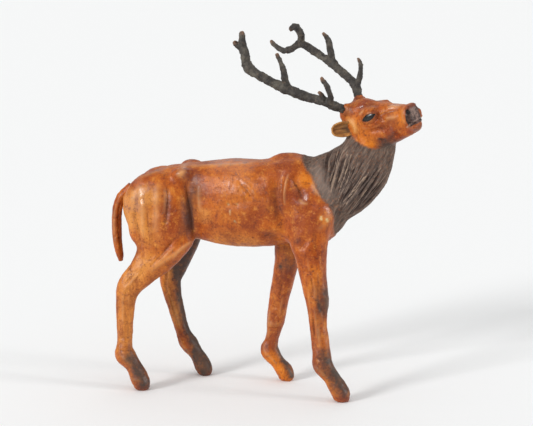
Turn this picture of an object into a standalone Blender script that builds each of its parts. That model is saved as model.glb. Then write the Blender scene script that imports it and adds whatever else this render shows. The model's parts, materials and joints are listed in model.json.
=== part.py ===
"""A leather-covered stag figurine, walking, with its head raised and turned to its right.

Metres, +Z up, nose towards +X, right side towards -Y. The origin is on the floor,
below the middle of the whole figure.
"""
import math

import bmesh
import bpy
import numpy as np
from mathutils import Matrix, Vector

# Driving sizes, in metres
FIGURE_HEIGHT = 0.365       # soles to the highest antler tip
SEAT_GAP = 0.0003           # play around each piece that is set into the body
ANTLER_DIAMETER = 0.0092    # main beam, halfway along
ANTLER_SEAT = 0.0060        # length of root inside the stub on the skull
EAR_LENGTH = 0.0200         # root to tip, outside the head
EAR_WIDTH = 0.0150
EAR_THICKNESS = 0.0021
EAR_SEAT = 0.0045
EAR_CURL = 0.0016           # how far the tip curls back
EAR_CUP = 0.34              # hollow of the leaf, as a share of its half width
EYE_LENGTH = 0.0134         # corner to corner
EYE_HEIGHT = 0.0082
EYE_DEPTH = 0.0070          # bead front to back
TAIL_DIAMETER = 0.0105
TAIL_SEAT = 0.0070

# The pose and the carving are shares of the height: one part is a 365th of it
HEIGHT_IN_PARTS = 365.0
PART = FIGURE_HEIGHT / HEIGHT_IN_PARTS

# How finely the forms are blended, and how many triangles each keeps
BODY_VOXEL = 1.45           # in parts
ANTLER_VOXEL = 1.05
LEGS_AND_TRUNK_TRIANGLES = 3300
HEAD_AND_MANE_TRIANGLES = 3300
BODY_TRIANGLES = 6200       # once the seam between the two is evened out
ANTLER_TRIANGLES = 800

# The head turns to the figure's right, lifts its nose and tips its left side up
HEAD_TURN = -30.4
HEAD_LIFT = 13.3
HEAD_TIP = 13.0
CROWN = (82.7, 0.0, 296.8)


def head_axes():
    """Place the head: nose, left and crown directions, with the origin between the antlers."""
    turn = Matrix.Rotation(math.radians(HEAD_TURN), 4, "Z")
    lift = Matrix.Rotation(math.radians(-HEAD_LIFT), 4, "Y")
    tip = Matrix.Rotation(math.radians(HEAD_TIP), 4, "X")
    return Matrix.Translation(CROWN) @ turn @ lift @ tip


BODY = Matrix.Identity(4)
HEAD = head_axes()


# Trunk stations: x, top, bottom, half width
TORSO = [
    (-147, 197, 176, 9),
    (-138, 205.5, 158, 20),
    (-125, 215.5, 151, 27),
    (-103, 225, 150, 29),
    (-79, 229, 153, 28),
    (-58, 232, 150.5, 28),
    (-35, 235, 147, 32),
    (-6, 234.8, 147.5, 33),
    (20, 239.3, 151, 33),
    (40, 241.2, 156, 30),
    (58, 237, 167, 24),
    (71, 229, 184, 12),
]

# Neck stations, chest to skull: x, y, z, half depth, half width
NECK = [
    (30, 0, 186, 44, 30),
    (47, 0, 196, 42.5, 30),
    (62.5, 0, 207, 37, 27.5),
    (80, -1, 217, 34.8, 25.5),
    (94.4, -2, 231, 32.4, 23),
    (102.4, -3, 245.4, 27.6, 20.5),
    (106, -4, 258.5, 25, 18),
    (106, -5, 270, 21, 16),
]

# Stations along the nose: n, top, bottom, half width
SKULL = [
    (-11, -12, -34, 10),
    (-5, -5, -44, 13.5),
    (3, -1.5, -50, 16.5),
    (15, 0, -52.5, 17.5),
    (29, -4.5, -52, 17),
    (42, -8.5, -50, 14.5),
    (55, -12, -46, 11.5),
    (66, -14.5, -42, 9.5),
    (71, -18, -38, 7),
]
MUZZLE = [
    (57, -13.2, -35, 9.5),
    (65, -14.4, -34.6, 10.4),
    (71, -13.4, -34.4, 11.2),
    (75.4, -13.8, -33.8, 10.9),
    (77.4, -14.6, -33, 10),
]
LOWER_JAW = [
    (38, -30, -49.5, 9.5),
    (51, -32, -47.5, 9.4),
    (61, -34, -45.2, 9),
    (70, -33.6, -42.8, 8.8),
    (76.4, -34.4, -41, 7.4),
]

# Leg stations, trunk to floor: x, y, z, half depth, half width
RIGHT_HIND = [
    (-101, -15, 200, 33, 17),
    (-102, -18, 175, 36.5, 17.5),
    (-105, -20, 153, 33, 15.5),
    (-109.6, -22, 137, 22, 13),
    (-121.8, -25, 121, 15.2, 10.8),
    (-135.6, -27, 105.5, 13, 9.4),
    (-139.5, -28, 89, 10.3, 8.6),
    (-140, -30, 56, 8.3, 7.8),
    (-140.2, -31, 45, 8.2, 7.8),
    (-139.8, -31.5, 35.5, 11.2, 9.2),
    (-130.6, -32, 24.5, 8.4, 8.2),
    (-124.4, -32.4, 12, 9.9, 9.1),
    (-121.6, -32.6, 3.5, 8.8, 8.6),
    (-120.6, -32.6, -1.5, 5, 5),
]
LEFT_HIND = [
    (-100, 15, 195, 31, 16),
    (-96.5, 18, 166, 28.5, 16),
    (-95.5, 21, 145, 21.5, 14),
    (-99.5, 24, 124, 14.6, 11),
    (-106.5, 27, 105, 12.6, 9.4),
    (-105.5, 28, 92, 11, 9),
    (-103, 29.3, 78, 9.5, 8.4),
    (-95.3, 32, 47, 8.1, 7.8),
    (-90, 33, 34.5, 10.2, 8.8),
    (-82, 34, 23.5, 7.8, 7.8),
    (-76, 34.6, 12.5, 9.2, 8.8),
    (-72.6, 34.8, 3.5, 8.6, 8.4),
    (-71.8, 34.8, -1.5, 5, 5),
]
RIGHT_FORE = [
    (40, -17, 206, 27, 15),
    (45, -19.5, 185, 26, 16),
    (47, -22, 163, 21.5, 14.5),
    (50, -24, 144, 16.3, 13),
    (52.8, -26, 124, 13.7, 11.4),
    (57.2, -28, 101, 12, 10.2),
    (57.9, -29, 87, 10, 9),
    (58.8, -29.7, 74, 9.1, 8.4),
    (62.4, -31, 49, 9.5, 8.7),
    (63.8, -31.5, 36, 10.6, 9.2),
    (71.7, -32, 25, 8.2, 8.3),
    (80.2, -32.2, 12.5, 9.5, 9.1),
    (84, -32.2, 3.5, 8.8, 8.6),
    (85.2, -32.2, -1.5, 5, 5),
]
LEFT_FORE = [
    (31, 15, 200, 25, 14),
    (25, 20, 175, 22, 14),
    (18.5, 23, 150, 15.4, 13),
    (15, 26, 123, 12.6, 11.4),
    (7.6, 28.5, 90, 10.6, 9.8),
    (3.4, 29.8, 64, 9.6, 9.3),
    (1.6, 30.3, 54, 8, 7.9),
    (-0.8, 31, 42, 7.3, 7.3),
    (-3, 31.3, 31, 10.6, 8.8),
    (4.9, 31.5, 19.5, 7.6, 7.5),
    (12, 31.8, 10.5, 9.2, 8.8),
    (15, 31.8, 3.2, 8.4, 8.2),
    (16, 31.8, -1.5, 5, 5),
]

# Tail, rump to tip: x, y, z, share of the tail's radius
TAIL = [
    (-144, 0, 198, 1.0),
    (-150.6, 0, 191.5, 1.0),
    (-154.9, 0, 179, 1.0),
    (-155.8, 0, 162, 1.0),
    (-154.9, 0, 145, 0.92),
    (-152.8, 0, 132, 0.74),
    (-151.8, 0, 125, 0.42),
]

# Muscles and bones that swell the body: centre, half sizes, lean about the side axis in degrees
BODY_SWELLS = [
    ((-81, 19, 221.5), (13, 7, 9), 0),
    ((-82, -20, 219), (12, 7, 9), 0),
    ((-108, -15.5, 189), (35.5, 19, 34), -10),
    ((-108, 15.5, 189), (35.5, 19, 34), -10),
    ((31, -18, 206), (15, 14.5, 28), -14),
    ((31, 18, 206), (15, 14.5, 28), -14),
    ((56.5, -20, 189.5), (16.5, 15, 18.5), 15),
    ((52, 19, 189), (15, 14, 19), 15),
    ((24, 0, 229.5), (25, 12, 14), 0),
    ((45.5, 0, 174), (17.5, 20, 18.5), 20),
    ((-12, 0, 186), (62, 34.5, 39), 0),
]
# The same in the head's own axes, each made on both sides of the face
HEAD_SWELLS = [
    ((16, 9.5, -34), (15, 8, 15), 0),
    ((30, 12, -12.2), (10, 4.8, 4.8), -6),
    ((30, 9, -17), (12, 7, 8), 0),
    ((4, 13, -24), (6, 4.5, 8), 0),
    ((-2, 7, -14), (8, 8, 11), 0),
]

# Stubs on the skull that hold the antlers: n, l, h, radius, inner end first
RIGHT_STUB = [(7, -6, -10, 8), (2, -11, -5.5, 6.4), (-0.2, -14, -2.4, 5.6)]
LEFT_STUB = [(9, 6, -9, 8), (5, 10, -4.5, 6.2), (2, 13.2, 1.2, 5.6)]

# Antler routes in the head's axes: n, l, h, share of the beam's radius
RIGHT_ANTLER = [
    [
        (-1, -14.6, -2.6, 0.98),
        (-4.6, -20, 2.8, 1.05),
        (-9, -24.5, 8.6, 1.04),
        (-19, -29, 15, 1.04),
        (-28.5, -34, 22, 1.08),
        (-38.4, -38, 30.6, 1.2),
        (-50, -40, 38.4, 1.1),
        (-61, -41.5, 47.6, 1.0),
        (-70.5, -43, 56, 1.16),
        (-74.2, -43.5, 64, 1.16),
        (-72.4, -43, 73, 1.04),
        (-71.6, -42, 84, 0.84),
        (-70, -40, 94.5, 0.68),
    ],
    [(-72, -42.5, 72, 0.6), (-74.5, -43.8, 80, 0.62), (-78, -46, 88, 0.56)],
    [(-7, -22.5, 6.5, 0.8), (-0.8, -24.5, 9, 0.7), (4.7, -29, 21, 0.6), (3.4, -32, 33, 0.46)],
    [(-11, -25, 9.5, 0.7), (-6.8, -26.5, 12.4, 0.6), (-6.2, -31, 20, 0.38)],
    [
        (-39, -38, 32, 0.84),
        (-35, -39.4, 41, 0.8),
        (-32, -41, 55.5, 0.62),
        (-35, -40, 66.5, 0.48),
    ],
]
LEFT_ANTLER = [
    [
        (1.4, 14.2, 1.6, 0.96),
        (-4.6, 21.6, 9, 0.98),
        (-17.2, 28, 18.8, 0.94),
        (-30, 34, 26.2, 0.96),
        (-40, 38.5, 33.2, 1.06),
        (-51, 40, 41.2, 0.92),
        (-62.6, 41.5, 50, 0.92),
        (-76, 43, 58.3, 0.88),
        (-92, 45, 54.4, 0.76),
        (-104, 46, 54.6, 0.68),
        (-112, 47, 59.4, 0.6),
        (-117, 47, 66.4, 0.44),
    ],
    [
        (-77, 43, 58, 0.84),
        (-71.4, 42, 64, 0.82),
        (-69.8, 41, 71, 0.82),
        (-72.6, 40, 76.8, 0.8),
        (-78.4, 39, 75.6, 0.6),
    ],
    [(-4, 21, 7, 0.7), (-1.2, 25, 12.6, 0.62), (2.2, 30.6, 25.6, 0.54), (0.6, 32, 33.2, 0.4)],
    [(-39, 38, 32, 0.86), (-37.6, 39.4, 43, 0.8), (-36.6, 40.5, 56, 0.66), (-38.6, 39, 64, 0.46)],
]

# Where the loose leather and the beads sit, in the head's axes
EAR_ROOT = (5.5, 15.0, -24.5)
EAR_REACH = (-0.52, 0.80, 0.22)
EAR_FACE = (0.72, 0.62, -0.05)
# Ear outline: share of the length from the root, share of the full width
EAR_OUTLINE = [(0, 0.55), (0.32, 0.94), (0.62, 1.0), (0.88, 0.76), (1.0, 0.3)]
EYE_CENTRE = (31.4, 15.4, -16.6)
EYE_LINE = (0.9, -0.33, 0.28)

# Creases and ridges seen from the side: width, depth (a ridge is negative), route in x and z
TORSO_STROKES = [
    (8.2, 4.4, [(-75, 224), (-73, 205), (-70, 184), (-68, 166), (-71, 151)]),
    (2.8, 1.6, [(-77, 216), (-75, 199), (-71.5, 181), (-70, 160)]),
    (2.4, 1.6, [(-94.5, 210), (-93.7, 191), (-94.4, 170)]),
    (3.0, 2.0, [(-127, 196), (-126, 169), (-122, 144), (-121, 130)]),
    (3.2, -1.2, [(-120, 202), (-120.5, 165), (-117, 138)]),
    (4.5, 1.6, [(-109, 206), (-108, 170), (-105, 146)]),
    (4.0, -2.0, [(-64, 158), (-87, 141), (-113, 126)]),
    (3.2, 1.8, [(-72, 168), (-92, 150), (-116, 136)]),
    (6.0, 3.2, [(20, 230), (17, 206), (21, 188), (24, 168)]),
    (2.8, -1.8, [(34, 234), (27, 220), (26, 203), (29, 191)]),
    (4.6, 3.0, [(31, 225), (37, 212), (45, 200)]),
    (3.2, -1.8, [(31, 207), (40, 198), (50, 193)]),
    (4.4, 2.8, [(40, 247), (47, 235), (55, 221), (64, 208), (72, 197), (77, 187), (75, 172)]),
    (5.0, 3.0, [(0, 163), (14, 164), (24, 157)]),
    (3.2, 2.0, [(49, 168), (41, 153)]),
]
RIGHT_HIND_STROKES = [
    (2.2, 1.1, [(-118, 137), (-129, 124), (-137, 109)]),
    (2.0, 0.9, [(-113, 130), (-122, 119), (-130, 108)]),
    (2.4, 0.7, [(-143, 92), (-144, 70), (-144, 48)]),
    (2.2, 0.8, [(-134, 33), (-128, 24), (-121, 14)]),
]
RIGHT_FORE_STROKES = [
    (2.0, 0.9, [(44, 146), (51, 128), (53, 110)]),
    (3.0, 1.2, [(59, 104), (63, 88)]),
    (2.4, 0.7, [(56, 78), (58, 50)]),
    (2.2, 0.8, [(68, 36), (75, 26), (84, 14)]),
]
LEFT_HIND_STROKES = [
    (3.2, 0.9, [(-90, 140), (-96, 110), (-97, 85), (-90, 58), (-82, 38)]),
    (2.2, 0.8, [(-84, 36), (-76, 22), (-70, 12)]),
]
LEFT_FORE_STROKES = [
    (2.4, 0.8, [(24, 150), (18, 120), (10, 88)]),
    (2.0, 0.8, [(0, 33), (8, 22), (14, 12)]),
]

# The face, seen from the side of the head: width, depth, route in n and h
FACE_STROKES = [
    (2.0, 1.2, [(41, -14), (52, -16), (63, -18)]),
    (3.0, 1.8, [(40, -17), (47, -21)]),
    (5.0, 2.2, [(22, -28), (36, -30), (50, -31)]),
    (3.0, -1.2, [(20, -22), (30, -24.5), (42, -23)]),
    (3.2, 1.8, [(10, -17), (19, -12), (28, -11.5)]),
    (3.2, 2.2, [(10, -30), (9, -40), (13, -50)]),
    (3.2, 1.8, [(38, -45), (46, -41), (55, -39.5)]),
    (2.4, 0.7, [(62, -18), (65, -24), (66, -31)]),
]
# The mouth goes right round the front of the muzzle
MOUTH = [(80, -31.8), (72, -34), (66, -36)]
MOUTH_WIDTH = 1.5
MOUTH_DEPTH = 1.7
NOSTRIL = (74.0, 8.8, -19.0)
NOSTRIL_SIZE = 2.3
# The nose ends in a flat pad: a point on it and the way it faces
NOSE_PAD = (75.4, 0.0, -24.0)
NOSE_PAD_FACE = (0.995, 0.0, 0.1)
LID_WIDTH = 1.5
LID_HEIGHT = 1.3
LID_MARGIN = 1.5            # from the bead's edge to the middle of the lid

# Locks of the mane fan out from a line below the jaw to a line above the shoulder
MANE_LOCKS = 13
MANE_START = [(66, 258), (79, 256), (90, 250), (102, 241), (116, 240), (127, 228)]
MANE_END = [(59, 224), (69, 211), (78, 201), (84, 193), (90, 187), (101, 185)]
MANE_GROOVE = 1.8
MANE_DEPTH = 2.4
MANE_BOW = (1.4, -1.0)      # how far a lock bends aside halfway


def catmull(rows, steps):
    """Smooth rows of numbers through every given row."""
    rows = np.asarray(rows, float)
    ends = np.vstack([2 * rows[0] - rows[1], rows, 2 * rows[-1] - rows[-2]])
    out = []
    for i in range(len(rows) - 1):
        a, b, c, d = ends[i:i + 4]
        for t in np.arange(steps) / steps:
            bend = (3 * b - 3 * c + d - a) * t + (2 * a - 5 * b + 4 * c - d)
            out.append(b + 0.5 * t * ((c - a) + t * bend))
    out.append(rows[-1])
    return np.array(out)


def skin(bm, rings, frame):
    """Join rings of points into one closed tube."""
    rows = []
    for ring in rings:
        rows.append([bm.verts.new(frame @ Vector(point)) for point in ring])
    for first, second in zip(rows, rows[1:]):
        for i, vertex in enumerate(first):
            j = (i + 1) % len(first)
            bm.faces.new((vertex, first[j], second[j], second[i]))
    bm.faces.new(rows[0][::-1])
    bm.faces.new(rows[-1])


def ring(centre, up, across, half_up, half_across, power, sides):
    """One rounded cross-section; a power of 2 is an ellipse, more is boxier."""
    angle = np.linspace(0, 2 * math.pi, sides, endpoint=False)
    u = np.sign(np.cos(angle)) * np.abs(np.cos(angle)) ** (2 / power) * half_up
    v = np.sign(np.sin(angle)) * np.abs(np.sin(angle)) ** (2 / power) * half_across
    return centre + u[:, None] * up + v[:, None] * across


def add_trunk(bm, rows, frame, power):
    """A trunk whose cross-sections stand square to its first axis."""
    rings = []
    for x, top, bottom, half in catmull(rows, 4):
        centre = np.array((x, 0, (top + bottom) / 2))
        rings.append(ring(centre, np.array((0, 0, 1)), np.array((0, 1, 0)), (top - bottom) / 2,
                          max(half, 1.0), power, 28))
    skin(bm, rings, frame)


def add_limb(bm, rows, frame, power=2.0, sides=20):
    """A limb whose cross-sections stand square to its own route: x, y, z, depth, width."""
    rows = catmull(rows, 4)
    route = rows[:, :3]
    along = np.gradient(route, axis=0)
    rings = []
    for centre, way, row in zip(route, along, rows):
        way = way / np.linalg.norm(way)
        up = np.cross((0, 1, 0), way)
        up /= np.linalg.norm(up)
        rings.append(ring(centre, up, np.cross(way, up), row[3], row[4], power, sides))
    skin(bm, rings, frame)


def add_swell(bm, centre, half_sizes, lean, frame):
    """A muscle or bone as a stretched ball."""
    place = (Matrix.Translation(centre) @ Matrix.Rotation(math.radians(lean), 4, "Y")
             @ Matrix.Diagonal((*half_sizes, 1)))
    bmesh.ops.create_uvsphere(bm, u_segments=20, v_segments=12, radius=1, matrix=frame @ place)


def new_object(name, bm, material):
    """Turn a bmesh into a named object with its material."""
    bm.normal_update()
    bmesh.ops.recalc_face_normals(bm, faces=bm.faces)
    mesh = bpy.data.meshes.new(name)
    bm.to_mesh(mesh)
    bm.free()
    obj = bpy.data.objects.new(name, mesh)
    bpy.context.collection.objects.link(obj)
    mesh.materials.append(material)
    return obj


def settle(obj):
    """Make the modifiers so far part of the mesh."""
    depsgraph = bpy.context.evaluated_depsgraph_get()
    mesh = bpy.data.meshes.new_from_object(obj.evaluated_get(depsgraph), depsgraph=depsgraph)
    obj.modifiers.clear()
    obj.data = mesh


def bring_to_size(obj):
    """Settle a piece that was modelled in parts and bring it to its real size."""
    settle(obj)
    obj.data.transform(Matrix.Scale(PART, 4))


def blend_forms(obj, voxel, rounds):
    """Melt the overlapping forms into one skin and soften it."""
    remesh = obj.modifiers.new("melt", "REMESH")
    remesh.mode = "VOXEL"
    remesh.voxel_size = voxel
    soften = obj.modifiers.new("soften", "SMOOTH")
    soften.factor = 0.5
    soften.iterations = rounds
    settle(obj)


def thin_out(obj, triangles, region=None):
    """Keep a fixed number of triangles, in the whole piece or in one region of it."""
    mesh = obj.data
    corners = [vertex.index for vertex in mesh.vertices if region is None or region(*vertex.co)]
    inside = set(corners)
    now = 0
    left_alone = 0
    for face in mesh.polygons:
        count = len(face.vertices) - 2
        now += count
        if not inside.issuperset(face.vertices):
            left_alone += count
    thin = obj.modifiers.new("thin", "DECIMATE")
    thin.ratio = min(1.0, (triangles + left_alone) / now)
    if region is not None:
        group = obj.vertex_groups.new(name="thinned")
        group.add(corners, 1.0, "REPLACE")
        thin.vertex_group = group.name
    settle(obj)
    obj.vertex_groups.clear()


def gaps_to_route(points, route):
    """Distance from each flat point to a route, and how far along it the nearest place is."""
    route = np.asarray(route, float)
    lengths = np.linalg.norm(np.diff(route, axis=0), axis=1)
    starts = np.concatenate([[0], np.cumsum(lengths)])
    best = np.full(len(points), 1e9)
    share = np.zeros(len(points))
    for a, b, length, start in zip(route, route[1:], lengths, starts):
        t = np.clip((points - a) @ (b - a) / length ** 2, 0, 1)
        gap = np.linalg.norm(points - a - t[:, None] * (b - a), axis=1)
        nearer = gap < best
        best[nearer] = gap[nearer]
        share[nearer] = (start + t[nearer] * length) / starts[-1]
    return best, share


class Skin:
    """The body's points in one frame's parts, to be pressed in or drawn out."""

    def __init__(self, mesh, frame):
        self.mesh = mesh
        self.frame = frame
        count = len(mesh.vertices)
        flat = np.empty(count * 3, np.float32)
        mesh.vertices.foreach_get("co", flat)
        back = np.array(frame.inverted())
        self.points = flat.reshape(-1, 3) @ back[:3, :3].T + back[:3, 3]
        normals = np.empty(count * 3, np.float32)
        mesh.vertex_normals.foreach_get("vector", normals)
        turned = normals.reshape(-1, 3) @ back[:3, :3].T
        self.normals = turned / np.linalg.norm(turned, axis=1)[:, None]
        self.press = np.zeros(count)

    def stroke(self, width, depth, route, side=0, zone=(-1e9, 1e9), taper=True):
        """Press a groove, or raise a ridge, along a route seen from one side."""
        gap, share = gaps_to_route(self.points[:, [0, 2]], catmull(route, 4))
        amount = np.exp(-(gap / width) ** 2)
        if taper:
            amount *= np.sqrt(np.clip(4 * share * (1 - share), 0, 1))
        if side:
            amount *= np.sqrt(np.clip(side * self.normals[:, 1], 0, 1))
        across = self.points[:, 1]
        amount[(across < zone[0]) | (across > zone[1])] = 0
        self.press += depth * amount

    def dent(self, centre, width, depth):
        """Press a round hollow into the skin."""
        gap = np.linalg.norm(self.points - np.array(centre), axis=1)
        self.press += depth * np.exp(-(gap / width) ** 2)

    def flatten(self, centre, face):
        """Bring back whatever stands proud of a plane."""
        face = np.array(face) / np.linalg.norm(face)
        proud = (self.points - np.array(centre)) @ face
        self.points -= np.clip(proud, 0, None)[:, None] * face

    def apply(self):
        """Write the pressed points back to the mesh."""
        moved = self.points - self.normals * self.press[:, None]
        there = np.array(self.frame)
        world = moved @ there[:3, :3].T + there[:3, 3]
        self.mesh.vertices.foreach_set("co", world.astype(np.float32).ravel())
        self.mesh.update()


def carve_body(mesh):
    """Carve the muscles, tendons and mane."""
    skin_points = Skin(mesh, BODY)
    for side in (-1, 1):
        near = (-1e9, 0) if side < 0 else (0, 1e9)
        for width, depth, route in TORSO_STROKES:
            skin_points.stroke(width, depth, route, side, near)
    for strokes, zone in ((RIGHT_HIND_STROKES, (-1e9, -8)), (RIGHT_FORE_STROKES, (-1e9, -8)),
                          (LEFT_HIND_STROKES, (8, 1e9)), (LEFT_FORE_STROKES, (8, 1e9))):
        for width, depth, route in strokes:
            skin_points.stroke(width, depth, route, -1, zone)
            skin_points.stroke(width, depth * 0.7, route, 1, zone)
    starts = catmull(MANE_START, 8)
    ends = catmull(MANE_END, 8)
    for lock in range(MANE_LOCKS):
        share = lock / (MANE_LOCKS - 1)
        row = share * (len(starts) - 1)
        low = int(min(row, len(starts) - 2))
        start = starts[low] + (row - low) * (starts[low + 1] - starts[low])
        end = ends[low] + (row - low) * (ends[low + 1] - ends[low])
        shift = 0.10 * math.sin(lock * 2.4)
        first = start + (end - start) * max(0.0, shift)
        last = end + (start - end) * max(0.0, -shift)
        bow = (first + last) / 2 + np.array(MANE_BOW)
        for side in (-1, 1):
            skin_points.stroke(MANE_GROOVE, MANE_DEPTH, [first, bow, last], side)
    skin_points.apply()


def carve_head(mesh):
    """Carve the face in the head's own axes."""
    skin_points = Skin(mesh, HEAD)
    skin_points.flatten(NOSE_PAD, NOSE_PAD_FACE)
    for side in (-1, 1):
        near = (-1e9, 0) if side < 0 else (0, 1e9)
        for width, depth, route in FACE_STROKES:
            skin_points.stroke(width, depth, route, side, near)
        rim = []
        lean = math.atan2(EYE_LINE[2], EYE_LINE[0])
        for turn in np.linspace(0, 2 * math.pi, 17):
            out = (EYE_LENGTH / 2 / PART + LID_MARGIN) * math.cos(turn)
            up = (EYE_HEIGHT / 2 / PART + LID_MARGIN) * math.sin(turn)
            rim.append((EYE_CENTRE[0] + out * math.cos(lean) - up * math.sin(lean),
                        EYE_CENTRE[2] + out * math.sin(lean) + up * math.cos(lean)))
        skin_points.stroke(LID_WIDTH, -LID_HEIGHT, rim, side, near, taper=False)
        skin_points.dent((NOSTRIL[0], side * NOSTRIL[1], NOSTRIL[2]), NOSTRIL_SIZE, NOSTRIL_SIZE)
    skin_points.stroke(MOUTH_WIDTH, MOUTH_DEPTH, MOUTH, zone=(-14, 14))
    skin_points.apply()


def in_head_or_mane(x, z):
    """Whether a point belongs to the finely carved head and mane."""
    return z > 264 or (z > 178 and x > 52 and z - 178 > (72 - x) * 2)


def make_body(material):
    """The figure itself: torso, neck, head and legs under one leather skin."""
    bm = bmesh.new()
    add_trunk(bm, TORSO, BODY, 2.6)
    add_limb(bm, NECK, BODY, 2.1, 28)
    add_trunk(bm, SKULL, HEAD, 2.2)
    add_trunk(bm, MUZZLE, HEAD, 2.6)
    add_trunk(bm, LOWER_JAW, HEAD, 2.4)
    for leg in (RIGHT_HIND, LEFT_HIND, RIGHT_FORE, LEFT_FORE):
        add_limb(bm, leg, BODY)
    for centre, half_sizes, lean in BODY_SWELLS:
        add_swell(bm, centre, half_sizes, lean, BODY)
    for (n, l, h), half_sizes, lean in HEAD_SWELLS:
        for side in (-1, 1):
            add_swell(bm, (n, side * l, h), half_sizes, lean, HEAD)
    for stub in (RIGHT_STUB, LEFT_STUB):
        add_limb(bm, [(n, l, h, r, r) for n, l, h, r in stub], HEAD, sides=16)
    body = new_object("body", bm, material)
    blend_forms(body, BODY_VOXEL, 9)
    carve_body(body.data)
    carve_head(body.data)
    thin_out(body, LEGS_AND_TRUNK_TRIANGLES, lambda x, y, z: not in_head_or_mane(x, z))
    thin_out(body, HEAD_AND_MANE_TRIANGLES, lambda x, y, z: in_head_or_mane(x, z))
    thin_out(body, BODY_TRIANGLES)
    bring_to_size(body)
    return body


def make_antler(name, routes, material):
    """One antler: a lumpy beam with its tines, its root reaching into the stub."""
    radius = ANTLER_DIAMETER / 2 / PART
    bm = bmesh.new()
    for number, route in enumerate(routes):
        rows = [np.array((n, l, h, share * radius)) for n, l, h, share in route]
        if number == 0:
            way = rows[0][:3] - rows[1][:3]
            way /= np.linalg.norm(way)
            root = rows[0].copy()
            root[:3] += way * ANTLER_SEAT / PART
            root[3] *= 0.9
            rows.insert(0, root)
        tip = rows[-1].copy()
        way = rows[-1][:3] - rows[-2][:3]
        tip[:3] += way / np.linalg.norm(way) * rows[-1][3] * 0.7
        tip[3] *= 0.5
        rows.append(tip)
        rows = catmull(rows, 5)
        travel = np.arange(len(rows))
        lumps = 1 + 0.07 * np.sin(travel * 1.9 + number) + 0.05 * np.sin(travel * 0.83 + 2 * number)
        lumps[:4] = 1
        rows[:, 3] *= lumps
        add_limb_round(bm, rows, HEAD)
    antler = new_object(name, bm, material)
    blend_forms(antler, ANTLER_VOXEL, 2)
    thin_out(antler, ANTLER_TRIANGLES)
    bring_to_size(antler)
    return antler


def add_limb_round(bm, rows, frame):
    """A round tube along rows that are already smooth: x, y, z, radius."""
    along = np.gradient(rows[:, :3], axis=0)
    rings = []
    for row, way in zip(rows, along):
        way = way / np.linalg.norm(way)
        up = np.cross((0.31, 0.9, 0.3), way)
        up /= np.linalg.norm(up)
        rings.append(ring(row[:3], up, np.cross(way, up), row[3], row[3], 2.0, 12))
    skin(bm, rings, frame)


def make_tail(material):
    """A roll of leather that hangs from the rump."""
    rows = [np.array((x, y, z, share * TAIL_DIAMETER / 2 / PART)) for x, y, z, share in TAIL]
    root = rows[0].copy()
    way = rows[0][:3] - rows[1][:3]
    root[:3] += way / np.linalg.norm(way) * TAIL_SEAT / PART
    rows.insert(0, root)
    bm = bmesh.new()
    add_limb_round(bm, catmull(rows, 2), BODY)
    tail = new_object("tail", bm, material)
    bring_to_size(tail)
    return tail


def make_ear(name, side, material):
    """A cupped leaf of leather, its narrow root in the side of the head."""
    flip = Vector((1, side, 1))
    root = Vector(EAR_ROOT) * flip
    reach = (Vector(EAR_REACH) * flip).normalized()
    face = Vector(EAR_FACE) * flip
    face = (face - reach * face.dot(reach)).normalized()
    across = reach.cross(face)
    length = (EAR_LENGTH + EAR_SEAT) / PART
    start = root - reach * EAR_SEAT / PART
    bm = bmesh.new()
    rows = []
    for along, swell in catmull(EAR_OUTLINE, 2):
        half = swell * EAR_WIDTH / 2 / PART
        row = []
        for j in range(7):
            share = j / 3 - 1
            cup = (1 - share ** 2) * EAR_CUP * half + EAR_CURL / PART * along ** 2
            row.append(bm.verts.new(HEAD @ (start + reach * length * along + across * half * share
                                            - face * cup)))
        rows.append(row)
    for first, second in zip(rows, rows[1:]):
        for j in range(6):
            bm.faces.new((first[j], first[j + 1], second[j + 1], second[j]))
    ear = new_object(name, bm, material)
    wall = ear.modifiers.new("leather", "SOLIDIFY")
    wall.thickness = EAR_THICKNESS / PART
    wall.offset = 0.0
    wall.use_even_offset = True
    bring_to_size(ear)
    return ear


def make_eye(name, side, material):
    """A glossy almond bead."""
    line = Vector((EYE_LINE[0], side * EYE_LINE[1], EYE_LINE[2])).normalized()
    up = Vector((0, 0, 1))
    up = (up - line * up.dot(line)).normalized()
    out = line.cross(up)
    centre = Vector((EYE_CENTRE[0], side * EYE_CENTRE[1], EYE_CENTRE[2]))
    bm = bmesh.new()
    bmesh.ops.create_uvsphere(bm, u_segments=12, v_segments=7, radius=1,
                              matrix=Matrix.Rotation(math.pi / 2, 4, "Y"))
    for vertex in bm.verts:
        x, y, z = vertex.co
        pinch = (1 - min(1.0, abs(x)) ** 2 + 1e-6) ** 0.22
        vertex.co = HEAD @ (centre + line * x * EYE_LENGTH / 2 / PART
                            + up * z * pinch * EYE_HEIGHT / 2 / PART
                            + out * y * pinch * EYE_DEPTH / 2 / PART)
    eye = new_object(name, bm, material)
    bring_to_size(eye)
    return eye


def cut_seat(body, piece):
    """Cut a seat in the body that is wider than the piece by the play all round."""
    cutter = bpy.data.objects.new(piece.name + "_seat", piece.data)
    bpy.context.collection.objects.link(cutter)
    grow = cutter.modifiers.new("play", "DISPLACE")
    grow.mid_level = 0.0
    grow.strength = SEAT_GAP * 1.15
    subtract(body, cutter)


def subtract(body, cutter):
    """Cut one hidden shape away from the body."""
    cutter.hide_render = True
    cutter.display_type = "WIRE"
    cut = body.modifiers.new(cutter.name, "BOOLEAN")
    cut.operation = "DIFFERENCE"
    cut.solver = "EXACT"
    cut.object = cutter


def cut_soles(body):
    """Cut the hooves off flat where they stand on the floor."""
    bm = bmesh.new()
    bmesh.ops.create_cube(bm, size=1, matrix=Matrix.Diagonal((2, 2, 0.1, 1)))
    floor = new_object("floor_cutter", bm, body.data.materials[0])
    floor.data.transform(Matrix.Translation((0, 0, -0.05)))
    subtract(body, floor)


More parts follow.
